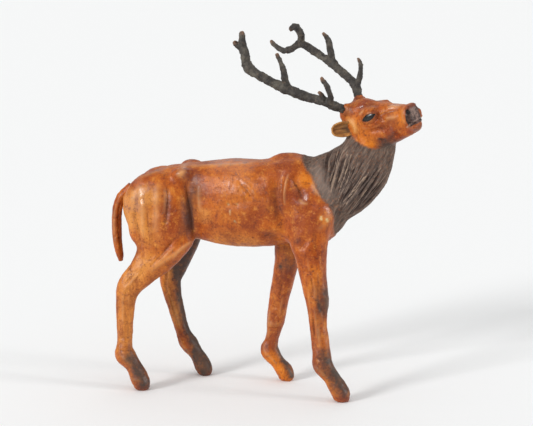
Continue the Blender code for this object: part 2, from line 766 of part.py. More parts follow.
def hex_to_linear(code):
    """Turn a six-digit screen colour into the shader's linear values."""
    parts = [int(code[i:i + 2], 16) / 255 for i in (0, 2, 4)]
    return [c / 12.92 if c <= 0.04045 else ((c + 0.055) / 1.055) ** 2.4 for c in parts] + [1.0]


def make_material(name, colour, roughness):
    """A plain surface with the photographed colour and gloss."""
    material = bpy.data.materials.new(name)
    material.use_nodes = True
    shader = material.node_tree.nodes["Principled BSDF"]
    shader.inputs["Base Color"].default_value = hex_to_linear(colour)
    shader.inputs["Roughness"].default_value = roughness
    shader.inputs["Metallic"].default_value = 0.0
    material.diffuse_color = hex_to_linear(colour)
    return material


def middle_of(objects):
    """The middle of the shown pieces' common box, seen from above."""
    depsgraph = bpy.context.evaluated_depsgraph_get()
    corners = []
    for obj in objects:
        shown = obj.evaluated_get(depsgraph)
        corners += [shown.matrix_world @ Vector(corner) for corner in shown.bound_box]
    xs = [corner.x for corner in corners]
    ys = [corner.y for corner in corners]
    return (min(xs) + max(xs)) / 2, (min(ys) + max(ys)) / 2


def main():
    """Build the figure and stand it over its own middle."""
    for old in list(bpy.data.objects):
        bpy.data.objects.remove(old, do_unlink=True)
    hide = make_material("tan_leather", "B5622B", 0.42)
    horn = make_material("painted_antler", "3C3A38", 0.7)
    dark = make_material("black_glass", "0B0B0C", 0.12)
    loose = make_material("ochre_leather", "9A5F24", 0.55)
    body = make_body(hide)
    pieces = [
        make_antler("antler_right", RIGHT_ANTLER, horn),
        make_antler("antler_left", LEFT_ANTLER, horn),
        make_ear("ear_right", -1, loose),
        make_ear("ear_left", 1, loose),
        make_eye("eye_right", -1, dark),
        make_eye("eye_left", 1, dark),
        make_tail(hide),
    ]
    cut_soles(body)
    for piece in pieces:
        cut_seat(body, piece)
    for obj in [body] + pieces:
        obj.data.shade_smooth()
        obj.data.set_sharp_from_angle(angle=math.radians(50))
    x, y = middle_of([body] + pieces)
    stand = bpy.data.objects.new("stand_point", None)
    bpy.context.collection.objects.link(stand)
    stand.location = (-x, -y, 0)
    for obj in list(bpy.data.objects):
        if obj is not stand:
            obj.parent = stand


main()
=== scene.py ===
# %% [markdown]
# # A leather-covered stag
# This is a small stag, 365 mm to the tips of its antlers. Wet leather was stretched over a
# light core, pressed into folds with a bone tool, glued, dyed and burnished. The mane was
# rubbed with dark stain and left matt, and the antlers were wrapped and painted.
#
# The solids of the part come first, as a fixed frame. They hold the true outline, so the body,
# the tail and the antlers start from their solids, and the ears and eyes are laid out in the
# same axes. Each gains what a hand's breadth away shows: folds, locks, wrinkles, stains, wear
# and painted shade.

import json
import math

import bmesh
import bpy
import numpy as np
from mathutils import Matrix, Vector
from mathutils.bvhtree import BVHTree

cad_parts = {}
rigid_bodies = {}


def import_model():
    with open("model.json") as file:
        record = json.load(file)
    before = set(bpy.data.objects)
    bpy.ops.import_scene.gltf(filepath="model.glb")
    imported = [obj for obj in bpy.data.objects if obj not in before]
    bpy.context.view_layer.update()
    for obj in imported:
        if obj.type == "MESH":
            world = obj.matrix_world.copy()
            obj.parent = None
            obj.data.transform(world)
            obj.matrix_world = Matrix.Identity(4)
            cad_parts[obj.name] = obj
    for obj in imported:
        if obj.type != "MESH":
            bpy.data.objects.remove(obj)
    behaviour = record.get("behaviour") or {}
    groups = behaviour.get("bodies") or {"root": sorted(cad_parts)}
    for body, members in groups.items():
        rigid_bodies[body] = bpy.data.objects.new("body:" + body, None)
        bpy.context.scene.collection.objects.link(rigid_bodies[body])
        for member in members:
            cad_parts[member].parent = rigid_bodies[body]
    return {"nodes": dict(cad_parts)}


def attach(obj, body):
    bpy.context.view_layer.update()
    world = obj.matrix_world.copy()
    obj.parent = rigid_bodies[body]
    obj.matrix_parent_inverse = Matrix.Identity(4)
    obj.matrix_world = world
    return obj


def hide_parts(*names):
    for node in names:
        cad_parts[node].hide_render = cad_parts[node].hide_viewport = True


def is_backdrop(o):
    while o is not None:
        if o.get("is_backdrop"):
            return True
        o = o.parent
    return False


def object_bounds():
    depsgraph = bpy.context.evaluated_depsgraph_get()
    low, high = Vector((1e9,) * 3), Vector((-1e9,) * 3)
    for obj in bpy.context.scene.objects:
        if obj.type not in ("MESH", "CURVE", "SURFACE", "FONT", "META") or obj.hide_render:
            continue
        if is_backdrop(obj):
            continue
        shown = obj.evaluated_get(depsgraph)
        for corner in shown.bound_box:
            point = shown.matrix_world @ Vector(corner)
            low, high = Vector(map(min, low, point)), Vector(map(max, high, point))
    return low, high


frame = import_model()
CAD_BOX = [list(corner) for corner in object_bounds()]
MM = 0.001
print("solids:", sorted(frame["nodes"]), "height mm", round(CAD_BOX[1][2] / MM, 1))

# %% [markdown]
# ## Two sets of axes
# The figure was laid out in millimetres, with its spine on one plane. The finished part
# stands over the middle of its own box instead, a little to one side. So places on the body
# are given in the figure's own millimetres, and one matrix takes them to the part's metres.
# The head is turned, lifted and tipped, so its places are given along the nose, to the left
# and up through the crown, and a second matrix takes those to the part. The way to the
# camera is fixed here too, because the side that it sees gets the finest squares.

# %% Axes of the body and of the head
FIGURE_TO_MIDDLE = Vector((0.07, -25.2, 0.0))
CROWN = Vector((82.7, 0.0, 296.8))
HEAD_TURN, HEAD_LIFT, HEAD_TIP = -30.4, 13.3, 13.0

BODY = Matrix.Scale(MM, 4) @ Matrix.Translation(FIGURE_TO_MIDDLE)
HEAD = (BODY @ Matrix.Translation(CROWN)
        @ Matrix.Rotation(math.radians(HEAD_TURN), 4, "Z")
        @ Matrix.Rotation(math.radians(-HEAD_LIFT), 4, "Y")
        @ Matrix.Rotation(math.radians(HEAD_TIP), 4, "X"))
CAMERA_AZIMUTH, CAMERA_ELEVATION = math.radians(12), math.radians(11)
TO_CAMERA = Vector((math.sin(CAMERA_AZIMUTH) * math.cos(CAMERA_ELEVATION),
                    -math.cos(CAMERA_AZIMUTH) * math.cos(CAMERA_ELEVATION),
                    math.sin(CAMERA_ELEVATION)))
print("crown at", [round(c, 4) for c in HEAD.translation])

# %% [markdown]
# ## Smooth routes
# Every fold, stain and lock follows a line drawn through a few points. A Catmull-Rom curve
# passes through all its points and needs no handles, which suits places measured one by one.

# %% A smooth line through given points, and distances to it


def smooth_route(points, steps=5):
    """Fill in a smooth line through the given points."""
    points = np.asarray(points, float)
    ends = np.vstack([2 * points[0] - points[1], points, 2 * points[-1] - points[-2]])
    out = []
    for a, b, c, d in zip(ends, ends[1:], ends[2:], ends[3:]):
        for t in np.arange(steps) / steps:
            bend = (3 * b - 3 * c + d - a) * t + (2 * a - 5 * b + 4 * c - d)
            out.append(b + 0.5 * t * ((c - a) + t * bend))
    return np.array(out + [points[-1]])


def distance_to_route(places, route):
    """How far each flat place is from a line, and how far along the line that is."""
    legs = np.linalg.norm(np.diff(route, axis=0), axis=1)
    starts = np.concatenate([[0], np.cumsum(legs)])
    nearest = np.full(len(places), 1e9)
    share = np.zeros(len(places))
    for a, b, leg, start in zip(route, route[1:], legs, starts):
        t = np.clip((places - a) @ (b - a) / leg ** 2, 0, 1)
        gap = np.linalg.norm(places - a - t[:, None] * (b - a), axis=1)
        nearer = gap < nearest
        nearest[nearer] = gap[nearer]
        share[nearer] = (start + t[nearer] * leg) / starts[-1]
    return nearest, share


print("a four-point route gives", len(smooth_route([(0, 0), (1, 2), (3, 2), (4, 0)])), "points")

# %% [markdown]
# ## Clay from a solid
# A solid of a few thousand triangles has no room for a fold one millimetre wide. A voxel
# remesh replaces its surface with even small squares, and a little smoothing takes the flat
# facets out. Squares can be cut in four where more is drawn: all over the side that the
# photograph shows, and once more on the face, because a face needs the finest lines.

# %% Turn a solid into fine, even clay
BODY_VOXEL = 2.3
SMOOTH_IN, SWELL_OUT = 0.5, -0.52


def settle(obj):
    """Make an object's modifiers part of its mesh."""
    depsgraph = bpy.context.evaluated_depsgraph_get()
    mesh = bpy.data.meshes.new_from_object(obj.evaluated_get(depsgraph), depsgraph=depsgraph)
    obj.modifiers.clear()
    obj.data = mesh
    return obj


def object_from(bm, name):
    """Turn a bmesh into an object of the scene, and free it."""
    mesh = bpy.data.meshes.new(name)
    bm.to_mesh(mesh)
    bm.free()
    obj = bpy.data.objects.new(name, mesh)
    bpy.context.collection.objects.link(obj)
    return obj


def clay_from(node, name, voxel, rounds):
    """Copy a solid, its loose triangles joined, as even squares of one voxel, smoothed."""
    bm = bmesh.new()
    bm.from_mesh(frame["nodes"][node].data)
    bmesh.ops.remove_doubles(bm, verts=bm.verts, dist=1e-6)
    obj = object_from(bm, name)
    remesh = obj.modifiers.new("even squares", "REMESH")
    remesh.mode = "VOXEL"
    remesh.voxel_size = voxel * MM
    return soften(obj, rounds)


def soften(obj, rounds):
    """Smooth an object, and swell it back each time so that thin legs keep their girth."""
    for _ in range(rounds):
        for factor in (SMOOTH_IN, SWELL_OUT):
            smooth = obj.modifiers.new("soften", "SMOOTH")
            smooth.factor = factor
            smooth.iterations = 1
    return settle(obj)


def quarter_squares(obj, chosen):
    """Cut the squares between the chosen points in four, and round the new ones off."""
    bm = bmesh.new()
    bm.from_mesh(obj.data)
    edges = [edge for edge in bm.edges if all(chosen[vertex.index] for vertex in edge.verts)]
    bmesh.ops.subdivide_edges(bm, edges=edges, cuts=1, use_grid_fill=True)
    bm.to_mesh(obj.data)
    bm.free()
    soften(obj, 2)


body = clay_from("body", "leather_body", BODY_VOXEL, 8)
print("body:", len(body.data.vertices), "points")

# %% [markdown]
# ## A hide that can be pressed and painted
# A leather worker presses a line and the stain settles in it, so carving and colouring are
# one job here. The darkening of a deep line is that stain and also painted shade, and the
# lightening of a raised one is wear and also a painted highlight. Each stroke is a line seen
# from the side. It pushes the skin in along its normals, or draws it out, and it can leave a
# stain or painted shade, which is kept as an attribute on the mesh for the material to read.

# %% The hide
STAINS = ("tan", "red", "smoke", "ash_and_shade", "glow", "crease", "rub_and_highlight", "mane", "pad", "pale", "hole_shade", "wax",
          "chip")
SKULL_BACK, SKULL_FRONT, SKULL_HALF = -13, 90, 24
SKULL_BOTTOM, SKULL_TOP, JAW_BACK = -54, 12, 14
CREASE_START, CREASE_RANGE, RUB_RANGE = 0.3, 1.3, 0.9
FACE_START = 14


class Hide:
    """A mesh's points, with what the strokes press and stain."""

    def __init__(self, mesh):
        self.mesh = mesh
        count = len(mesh.vertices)
        flat = np.empty(count * 3, np.float32)
        mesh.vertices.foreach_get("co", flat)
        self.metres = flat.reshape(-1, 3).astype(float)
        mesh.vertex_normals.foreach_get("vector", flat)
        self.out = flat.reshape(-1, 3).astype(float)
        self.press = np.zeros(count)
        self.stains = {}
        self.spaces = {}
        for name, matrix in (("body", BODY), ("head", HEAD)):
            back = np.array(matrix.inverted())
            places = self.metres @ back[:3, :3].T + back[:3, 3]
            turned = self.out @ back[:3, :3].T
            turned /= np.linalg.norm(turned, axis=1)[:, None] + 1e-12
            self.spaces[name] = (places, turned)
        self.is_head = self.head_mask()

    def head_mask(self):
        """Which points belong to the skull, and not to the neck."""
        ahead, left, above = self.spaces["head"][0].T
        bottom = SKULL_BOTTOM + np.clip(JAW_BACK - ahead, 0, 9)
        return ((ahead > SKULL_BACK) & (ahead < SKULL_FRONT) & (np.abs(left) < SKULL_HALF)
                & (above > bottom) & (above < SKULL_TOP))

    def under(self, route, width, space="body", side=0, half=0, taper=True, among=None):
        """How strongly each point lies under a stroke: 1 on its line, fading over its width."""
        places, turned = self.spaces[space]
        line = smooth_route(route) if len(route) > 1 else np.array(route * 2) + ((0, 0), (0.01, 0))
        low, high = line.min(0) - 3 * width, line.max(0) + 3 * width
        flat = places[:, [0, 2]]
        near = ((flat > low) & (flat < high)).all(1)
        if half:
            near &= places[:, 1] * half > 0
        if among is not None:
            near &= among > 0
        else:
            near &= self.is_head if space == "head" else ~self.is_head
        amount = np.zeros(len(places))
        gap, share = distance_to_route(flat[near], line)
        value = np.exp(-(gap / width) ** 2)
        if taper and len(route) > 1:
            value *= np.clip(4.5 * share * (1 - share), 0, 1) ** 0.6
        if side:
            value *= np.clip(1.6 * side * turned[near, 1], 0, 1) ** 0.5
        amount[near] = value
        return amount

    def stain(self, name, amount):
        """Add to one stain, up to full strength."""
        kept = self.stains.get(name, np.zeros(len(self.metres)))
        self.stains[name] = np.clip(kept + amount, 0, 1)

    def fold(self, folds, space="body", side=0, half=0, wider=1.0, deeper=1.0):
        """Press folds; each is a width, a depth and a route."""
        for width, depth, route in folds:
            self.press += deeper * depth * self.under(route, wider * width, space, side, half)

    def brush(self, stains, space="body", half=0, taper=True):
        """Brush stains on; under each name every stroke is a width, a strength and a route."""
        for name, strokes in stains.items():
            for width, strength, route in strokes:
                self.stain(name, strength * self.under(route, width, space, 0, half, taper))

    def move_to(self, metres):
        """Put the mesh's points at new places."""
        self.mesh.vertices.foreach_set("co", metres.astype(np.float32).ravel())
        self.mesh.update()

    def apply(self):
        """Move the points along their normals, not below the floor, and write the stains."""
        moved = self.metres - self.out * (self.press * MM)[:, None]
        moved[:, 2] = np.maximum(moved[:, 2], 0.0)
        self.move_to(moved)
        # Deep presses darken, as stain in the fold and as its painted shade; raised ridges lighten, as wear
        # and as a painted highlight.
        self.stain("crease", np.clip((self.press - CREASE_START) / CREASE_RANGE, 0, 1))
        self.stain("rub_and_highlight", np.clip(-self.press / RUB_RANGE, 0, 1))
        for name in STAINS:
            amount = self.stains.get(name, np.zeros(len(self.metres)))
            attribute = self.mesh.attributes.new(name, "FLOAT", "POINT")
            attribute.data.foreach_set("value", amount.astype(np.float32))


hide = Hide(body.data)
quarter_squares(body, (hide.out @ np.array(TO_CAMERA) > -0.1) | hide.is_head)
hide = Hide(body.data)
shown_face = hide.is_head & (hide.out @ np.array(TO_CAMERA) > 0.0)
quarter_squares(body, shown_face & (hide.spaces["head"][0][:, 0] > FACE_START))
hide = Hide(body.data)
print("with the shown side and the face finer:", len(body.data.vertices), "points")

# %% [markdown]
# ## Closing the mouth
# The solid's mouth is a straight groove. In the photograph the lips rise towards the front
# and the lower one ends a little further back, so the lips are moved before anything is
# drawn on them. A soft weight in the head's own axes moves only them.

# %% Lift the lips
LIP_LIFT, LIP_BACK = 2.0, 1.2
LIPS_START, LOWER_LIP_START = 62, 70
MOUTH_LEVEL, LOWER_LIP_LEVEL, CHIN_LEVEL = -35, -33, -60
places = hide.spaces["head"][0].copy()
ahead, left, above = places.T
lips = np.clip((ahead - LIPS_START) / 9, 0, 1) * (ahead < SKULL_FRONT) * (np.abs(left) < SKULL_HALF)
places[:, 2] += LIP_LIFT * lips * np.exp(-((above - MOUTH_LEVEL) / 4.5) ** 2)
lower = np.clip((LOWER_LIP_LEVEL - above) / 2, 0, 1) * (above > CHIN_LEVEL)
places[:, 0] -= LIP_BACK * np.clip((ahead - LOWER_LIP_START) / 5, 0, 1) * lips * lower
there = np.array(HEAD)
hide.move_to(places @ there[:3, :3].T + there[:3, 3])
hide = Hide(body.data)
print("lips lifted by", LIP_LIFT, "mm")

# %% [markdown]
# ## Folds of the flank, haunch and shoulder
# The maker stretched the leather over the haunch and let it sink at the flank, then raised
# thin ridges with a bone tool. Each line below has a width and a depth in millimetres, and a
# negative depth is a ridge. Most are on both sides of a real stag, so both sides get them,
# softer and wider on the hidden one, and the last list is of lines that this side alone shows.

# %% Press the folds of the trunk
TRUNK_FOLDS = [
    (1.2, 1.2, [(-77.4, 214), (-75.6, 204), (-74, 195), (-72, 184), (-70.5, 172), (-70, 158)]),
    (4.0, -0.9, [(-122, 210), (-121, 197)]),
    (2.6, -0.8, [(-130.4, 205), (-130, 193)]),
    (2.6, -0.8, [(-64, 212), (-63, 198), (-62, 184)]),
    (2.4, -0.9, [(-86, 219), (-81, 223), (-76, 225.6)]),
    (1.2, 1.0, [(-94.6, 209), (-93.6, 196), (-94.2, 184), (-95, 172)]),
    (1.3, -0.6, [(-96.8, 209), (-96, 196), (-96.8, 182)]),
    (3.0, -0.6, [(-104, 214), (-105, 190), (-106, 162)]),
    (1.3, 1.0, [(-126.8, 193), (-128, 179), (-125.5, 166), (-123, 153), (-122.4, 144)]),
    (2.4, -0.7, [(-119, 196), (-119, 184), (-119, 167), (-117.6, 157)]),
    (1.2, 0.7, [(-113.6, 190), (-114, 176), (-112, 160)]),
    (1.3, 1.0, [(-112, 128), (-101.4, 139), (-90, 153), (-84, 160)]),
    (2.0, -0.7, [(-66, 157), (-86, 143), (-104, 130), (-112, 123)]),
    (1.2, -0.6, [(-106, 132), (-97, 139), (-86, 150)]),
    (1.0, -0.8, [(-90.4, 227.2), (-67, 228.5), (-42, 230.9), (-9, 233)]),
    (1.0, -0.6, [(-126, 216), (-106, 222.6), (-91, 226.6)]),
    (1.4, 0.9, [(-22.4, 218), (-14, 210.5), (-6.4, 201.7)]),
    (1.3, -0.3, [(-16, 217), (-9, 211), (-2.6, 203)]),
    (1.4, 0.8, [(21.4, 222), (21, 208), (21.6, 196)]),
    (1.2, -0.8, [(28.4, 227), (26, 219), (24.7, 206), (25.2, 196)]),
    (1.0, 1.3, [(31, 222), (35, 216), (39.3, 209), (43, 203)]),
    (1.4, -0.9, [(39, 203), (44, 199), (49, 199)]),
    (1.8, -0.8, [(50, 219), (54.6, 212), (58, 206)]),
    (1.1, 0.9, [(1, 162.4), (9, 163.6), (18.4, 160)]),
    (1.2, 0.7, [(41, 152.4), (45, 157), (48.6, 162)]),
    (2.4, -0.3, [(57, 172), (66, 180), (68, 191)]),
    (1.0, -0.6, [(-69, 155), (-53, 152), (-31, 150), (-8, 150)]),
    (1.0, -0.6, [(-71, 154), (-78, 150), (-86, 141), (-90, 135)]),
]
HIDDEN_WIDTH, HIDDEN_DEPTH = 1.7, 0.7
NEAR_FOLDS = [
    (1.3, 1.0, [(-32.6, 196), (-30.6, 194)]),
    (1.2, 0.8, [(-24, 195.6), (-21, 194.6)]),
    (1.0, -0.5, [(-30, 189), (-29.8, 183)]),
    (1.4, 0.9, [(-26, 178), (-23, 175)]),
    (1.0, 0.6, [(-90, 182), (-86, 188.6)]),
    (1.3, 0.8, [(-95.4, 176), (-95.8, 173)]),
    (1.0, 0.5, [(-46, 172), (-38, 171), (-30, 172)]),
    (1.0, 0.5, [(4, 208), (8, 200)]),
    (0.9, 0.6, [(42.7, 131.4), (50, 131.2), (58, 132.5)]),
    (1.0, 0.9, [(48.9, 131), (53, 122), (54.8, 112), (55, 105)]),
]
hide.fold(TRUNK_FOLDS, side=-1, half=-1)
hide.fold(TRUNK_FOLDS, side=1, half=1, wider=HIDDEN_WIDTH, deeper=HIDDEN_DEPTH)
hide.fold(NEAR_FOLDS, side=-1, half=-1)
print("folds of the trunk:", 2 * len(TRUNK_FOLDS) + len(NEAR_FOLDS))

# %% [markdown]
# ## Wrinkles of the legs
# Leather bunches behind a hock and round a fetlock, and it was tucked in rings where one
# strip ended on the next. Each leg has its own lines, because the four are in different
# steps of the walk. Long thin wrinkles run down every leg as well: they have no fixed
# places, so chance sets them along the leg's middle line.

# %% Press the wrinkles of the legs
LEG_FOLDS = {
    "right hind": (-1, [
        (1.2, 1.0, [(-121, 125), (-124.6, 122), (-131, 117), (-137.6, 108.7)]),
        (1.0, 0.8, [(-123, 126.3), (-130.2, 120.7), (-134, 116)]),
        (1.0, 0.7, [(-130, 123), (-138, 116), (-140.4, 110)]),
        (1.3, -0.6, [(-118, 128), (-126, 121), (-133, 111)]),
        (1.0, 0.6, [(-126, 135), (-114, 135), (-108, 133)]),
        (1.4, 0.5, [(-136, 96), (-135.6, 76), (-136, 56)]),
        (1.2, -0.5, [(-139.6, 98), (-140, 76), (-140, 60)]),
        (0.9, 0.5, [(-143, 53.4), (-136, 54), (-131, 56)]),
        (0.9, 0.7, [(-144, 41.6), (-137, 41), (-131, 44)]),
        (1.1, -0.6, [(-143, 37), (-136, 32), (-130, 27)]),
        (1.4, 0.6, [(-132, 36), (-125, 27), (-119, 18), (-116, 9)]),
        (1.0, -0.6, [(-133, 14), (-126, 12), (-117, 15)]),
        (1.0, 0.6, [(-134, 4.6), (-124, 4.4), (-113, 5)]),
    ]),
    "left hind": (1, [
        (2.0, 0.8, [(-91, 126), (-94.7, 111), (-96, 92), (-94, 74), (-89, 50), (-79, 30)]),
        (1.2, 0.6, [(-106, 118), (-110, 104), (-108, 90), (-102, 66)]),
        (0.9, 0.7, [(-102, 44), (-95, 42), (-88, 46)]),
        (1.1, -0.6, [(-97, 36), (-91, 30), (-84, 21)]),
        (1.0, 0.6, [(-92, 42), (-86, 34), (-80, 24)]),
        (1.0, 0.6, [(-86, 4.4), (-76, 4), (-66, 4.6)]),
    ]),
    "right fore": (-1, [
        (2.4, -0.7, [(66, 108), (68, 100), (67, 92)]),
        (1.2, 1.1, [(58.6, 104), (60.4, 98), (63.6, 91)]),
        (0.9, -0.7, [(61.8, 101), (63.8, 97)]),
        (1.0, 0.7, [(64, 112), (69, 104), (69, 96)]),
        (1.2, 0.5, [(54, 84), (55, 68), (55.4, 56)]),
        (1.2, -0.5, [(59, 84), (61, 66), (63, 50)]),
        (1.0, 0.8, [(55, 43.6), (62, 44), (72, 44)]),
        (1.2, -0.7, [(56, 37), (64, 31), (70, 24)]),
        (1.0, 0.8, [(60, 27), (67, 26), (73, 29)]),
        (1.4, 0.6, [(66, 40), (72, 30), (79, 19)]),
        (1.1, -0.6, [(71, 38), (78, 28), (85, 18)]),
        (1.0, 0.6, [(72, 19), (77, 13), (84, 8)]),
        (1.0, 0.6, [(76, 5), (84, 4.4), (95, 6)]),
    ]),
    "left fore": (1, [
        (1.0, 0.8, [(3, 82), (4.6, 79), (7, 81)]),
        (1.0, 0.8, [(3, 73), (4.8, 70.6), (7, 73)]),
        (0.9, 0.8, [(-5, 57), (2, 57.4), (10, 58)]),
        (2.2, -0.4, [(-5, 61), (2, 61.4), (11, 62)]),
        (1.2, -0.6, [(-9, 33), (-2, 27), (6, 18)]),
        (1.2, 0.6, [(4, 42), (8, 31), (15, 20)]),
        (1.4, 0.6, [(15, 130), (12, 118), (8, 96)]),
        (1.3, 1.0, [(10, 124.6), (12, 122)]),
        (1.0, 0.6, [(2, 5), (10, 4.4), (20, 5)]),
    ]),
}
for half, folds in LEG_FOLDS.values():
    hide.fold(folds, half=half)
LEG_LINES = {
    "right hind": (-1, [(-116, 132), (-133, 109), (-139, 92), (-139.6, 60), (-138, 36), (-126, 18)],
                   7.5),
    "left hind": (1, [(-98, 130), (-106, 108), (-104, 84), (-96, 50), (-88, 32), (-77, 14)], 7.0),
    "right fore": (-1, [(50, 146), (54, 120), (58, 96), (60, 66), (63, 42), (77, 18)], 8.0),
    "left fore": (1, [(19, 146), (13, 118), (6, 84), (2, 56), (-1, 34), (10, 14)], 7.0),
}
WRINKLES_PER_LEG = 26
chance = np.random.default_rng(11)
for half, middle, reach in LEG_LINES.values():
    line = smooth_route(middle, 8)
    for _ in range(WRINKLES_PER_LEG):
        first = chance.integers(0, len(line) - 12)
        part = line[first:first + chance.integers(7, 12)]
        route = part[::3] + (chance.uniform(-1, 1) * reach, 0) + chance.normal(0, 0.25, part[::3].shape)
        depth = chance.uniform(0.25, 0.6) * chance.choice((1, 1, -1))
        hide.press += depth * hide.under(route, chance.uniform(0.7, 1.1), half=half)
print("leg wrinkles:", {leg: len(folds) for leg, (half, folds) in LEG_FOLDS.items()})

# %% [markdown]
# ## The face
# The face is the part that people look at first. The nose ends in a flat pad with a soft rim,
# its nostrils sit high at its sides, and the mouth is one straight line that opens a little
# at the front. The nostrils and the mouth's line are painted near black as their shade, and
# the upper lip's edge is painted pale. Round each eye the skin is pressed down first, because
# the lids are laid over it later as pieces of their own, the way the maker rolled them over
# the glass bead.

# %% Carve the face
EYE_CENTRE = (31.6, 14.9, -16.6)
EYE_LINE = (0.94, -0.25, 0.24)
LID_REACH = (11.6, 7.2)
FACE_FOLDS = [
    (1.3, 1.0, [(64, -16.5), (51, -16.5), (41, -17.5)]),
    (1.8, -0.9, [(48, -12.4), (56, -13.4), (64, -14.4)]),
    (1.8, -0.7, [(46, -21), (54, -22), (62, -22)]),
    (1.4, 0.8, [(40, -18), (44, -22), (48, -23)]),
    (2.6, 0.8, [(24, -29), (36, -30.4), (50, -30)]),
    (1.4, -0.5, [(20, -25), (30, -28), (42, -26)]),
    (1.3, 0.7, [(16, -0.5), (28, -4.5), (41, -9.2)]),
    (1.3, 0.8, [(14.7, -7.7), (26, -6), (39, -8.7)]),
    (1.4, -0.9, [(18, -13), (22, -11.4), (27, -9)]),
    (1.2, 0.8, [(13, -21), (13.4, -28), (10.4, -33), (12, -46)]),
    (1.8, -1.0, [(4, -15), (9, -19), (11.4, -24), (10, -30)]),
    (2.0, 1.0, [(40, -45), (47, -41), (56, -39.4)]),
    (1.1, 0.5, [(46.5, -39), (52, -37), (58, -34.4)]),
    (1.1, 0.5, [(42, -36), (48, -34), (54, -31)]),
    (1.4, 1.2, [(34, -39.6), (37.4, -43)]),
    (2.2, -0.6, [(69.5, -15), (67.5, -22), (66.6, -31)]),
]
EYE_SOCKET_DEPTH = 2.2
NOSTRIL, NOSTRIL_WIDTH, NOSTRIL_DEPTH = (74.0, 8.8, -19.0), 2.2, 1.5
MOUTH = [(82, -31.0), (75, -32.2), (67.6, -36)]
MOUTH_RIDGE, MOUTH_START = 0.5, 67
UPPER_LIP = [(78, -29.6), (74, -30.6), (67, -34.4)]
LIP_RIDGE = 0.6


def eye_axes(side):
    """The middle of one eye and its three ways: along, up and out, in the part's metres."""
    line = Vector((EYE_LINE[0], side * EYE_LINE[1], EYE_LINE[2])).normalized()
    up = Vector((0, 0, 1))
    up = (up - line * up.dot(line)).normalized()
    out = line.cross(up) * -side
    centre = HEAD @ Vector((EYE_CENTRE[0], side * EYE_CENTRE[1], EYE_CENTRE[2]))
    return [centre] + [(HEAD.to_3x3() @ way).normalized() for way in (line, up, out)]


head_places = hide.spaces["head"][0]
for side in (-1, 1):
    hide.fold(FACE_FOLDS, "head", side=side, half=side)
    centre, line, up, out = [np.array(v) for v in eye_axes(side)]
    from_eye = (hide.metres - centre) / MM
    along, above, outward = from_eye @ line, from_eye @ up, from_eye @ out
    ring = np.hypot(along / LID_REACH[0], above / LID_REACH[1])
    hide.press += EYE_SOCKET_DEPTH * np.clip(1 - ring ** 4, 0, 1) * (outward > -4) * (outward < 9)
    nostril = np.array(NOSTRIL) * (1, side, 1)
    gap = np.linalg.norm((head_places - nostril) * (1.0, 1.0, 0.8), axis=1)
    # The nostril is pressed in and painted near black as the shade in it.
    hole_shade = np.exp(-(gap / NOSTRIL_WIDTH) ** 2)
    hide.press += NOSTRIL_DEPTH * hole_shade
    hide.stain("hole_shade", 1.8 * hole_shade)
mouth = hide.under(MOUTH, 0.8, "head", taper=False)
mouth *= np.clip((head_places[:, 0] - MOUTH_START) / 4, 0, 1)
mouth *= np.clip(np.abs(head_places[:, 1]) / 4.0, 0.2, 1)
hide.press -= MOUTH_RIDGE * mouth
# The mouth's line is painted near black as the shade in its gap.
hide.stain("hole_shade", 0.9 * mouth ** 2)
lip = hide.under(UPPER_LIP, 0.7, "head", taper=False)
hide.press -= LIP_RIDGE * lip
hide.stain("pale", 0.8 * lip)
print("face lines:", 2 * len(FACE_FOLDS))

# %% [markdown]
# ## Where the mane lies
# The mane is a collar of thinner leather round the neck. The burnished hide of the shoulder
# and the jaw was glued over its edges, so the collar lies a little lower, with a crisp step.
# Its outline is one loop of points seen from the side.

# %% Sink the mane's collar
MANE_LOOP = [(31, 262), (33, 246), (37.8, 240.4), (43, 232.8), (49.6, 224.6), (55.5, 213), (61, 204),
             (67.2, 198), (71, 191.6), (72.4, 182.7), (71, 170), (71, 156), (150, 150), (150, 254),
             (132, 255), (126.7, 256.6), (118, 254), (113.3, 253), (108.4, 253.6), (100, 256.4),
             (93, 259.6), (88.6, 263.4), (84, 271), (76, 279), (66, 284), (31, 284)]
MANE_SINK, MANE_STEP, MANE_EDGE = 0.7, 1.6, 3


def inside_loop(places, loop):
    """How far inside a flat loop each place is; outside it the distance is negative."""
    loop = np.array(loop + loop[:1], float)
    crossings = np.zeros(len(places), int)
    for (ax, az), (bx, bz) in zip(loop, loop[1:]):
        if az != bz:
            spans = (places[:, 1] >= min(az, bz)) & (places[:, 1] < max(az, bz))
            at = ax + (places[:, 1] - az) / (bz - az) * (bx - ax)
            crossings += spans & (places[:, 0] < at)
    gap = distance_to_route(places, loop)[0]
    return np.where(crossings % 2 == 1, gap, -gap)


body_places = hide.spaces["body"][0]
depth_in_mane = inside_loop(body_places[:, [0, 2]], MANE_LOOP)
collar = np.clip(depth_in_mane / MANE_STEP + 0.5, 0, 1)
hide.press += MANE_SINK * collar
hide.stain("mane", np.clip(depth_in_mane / MANE_EDGE + 0.5, 0, 1))
print("points in the mane:", int((collar > 0.5).sum()))

# %% [markdown]
# ## Furrows of the mane
# The deep furrows between the locks are drawn one by one from the photograph. Finer ones lie
# between them. They fan out from below the jaw to the shoulder, so they come from a rule:
# between one line at the locks' upper ends and one at their lower ends, each furrow has its
# own share across and covers its own part of the way.

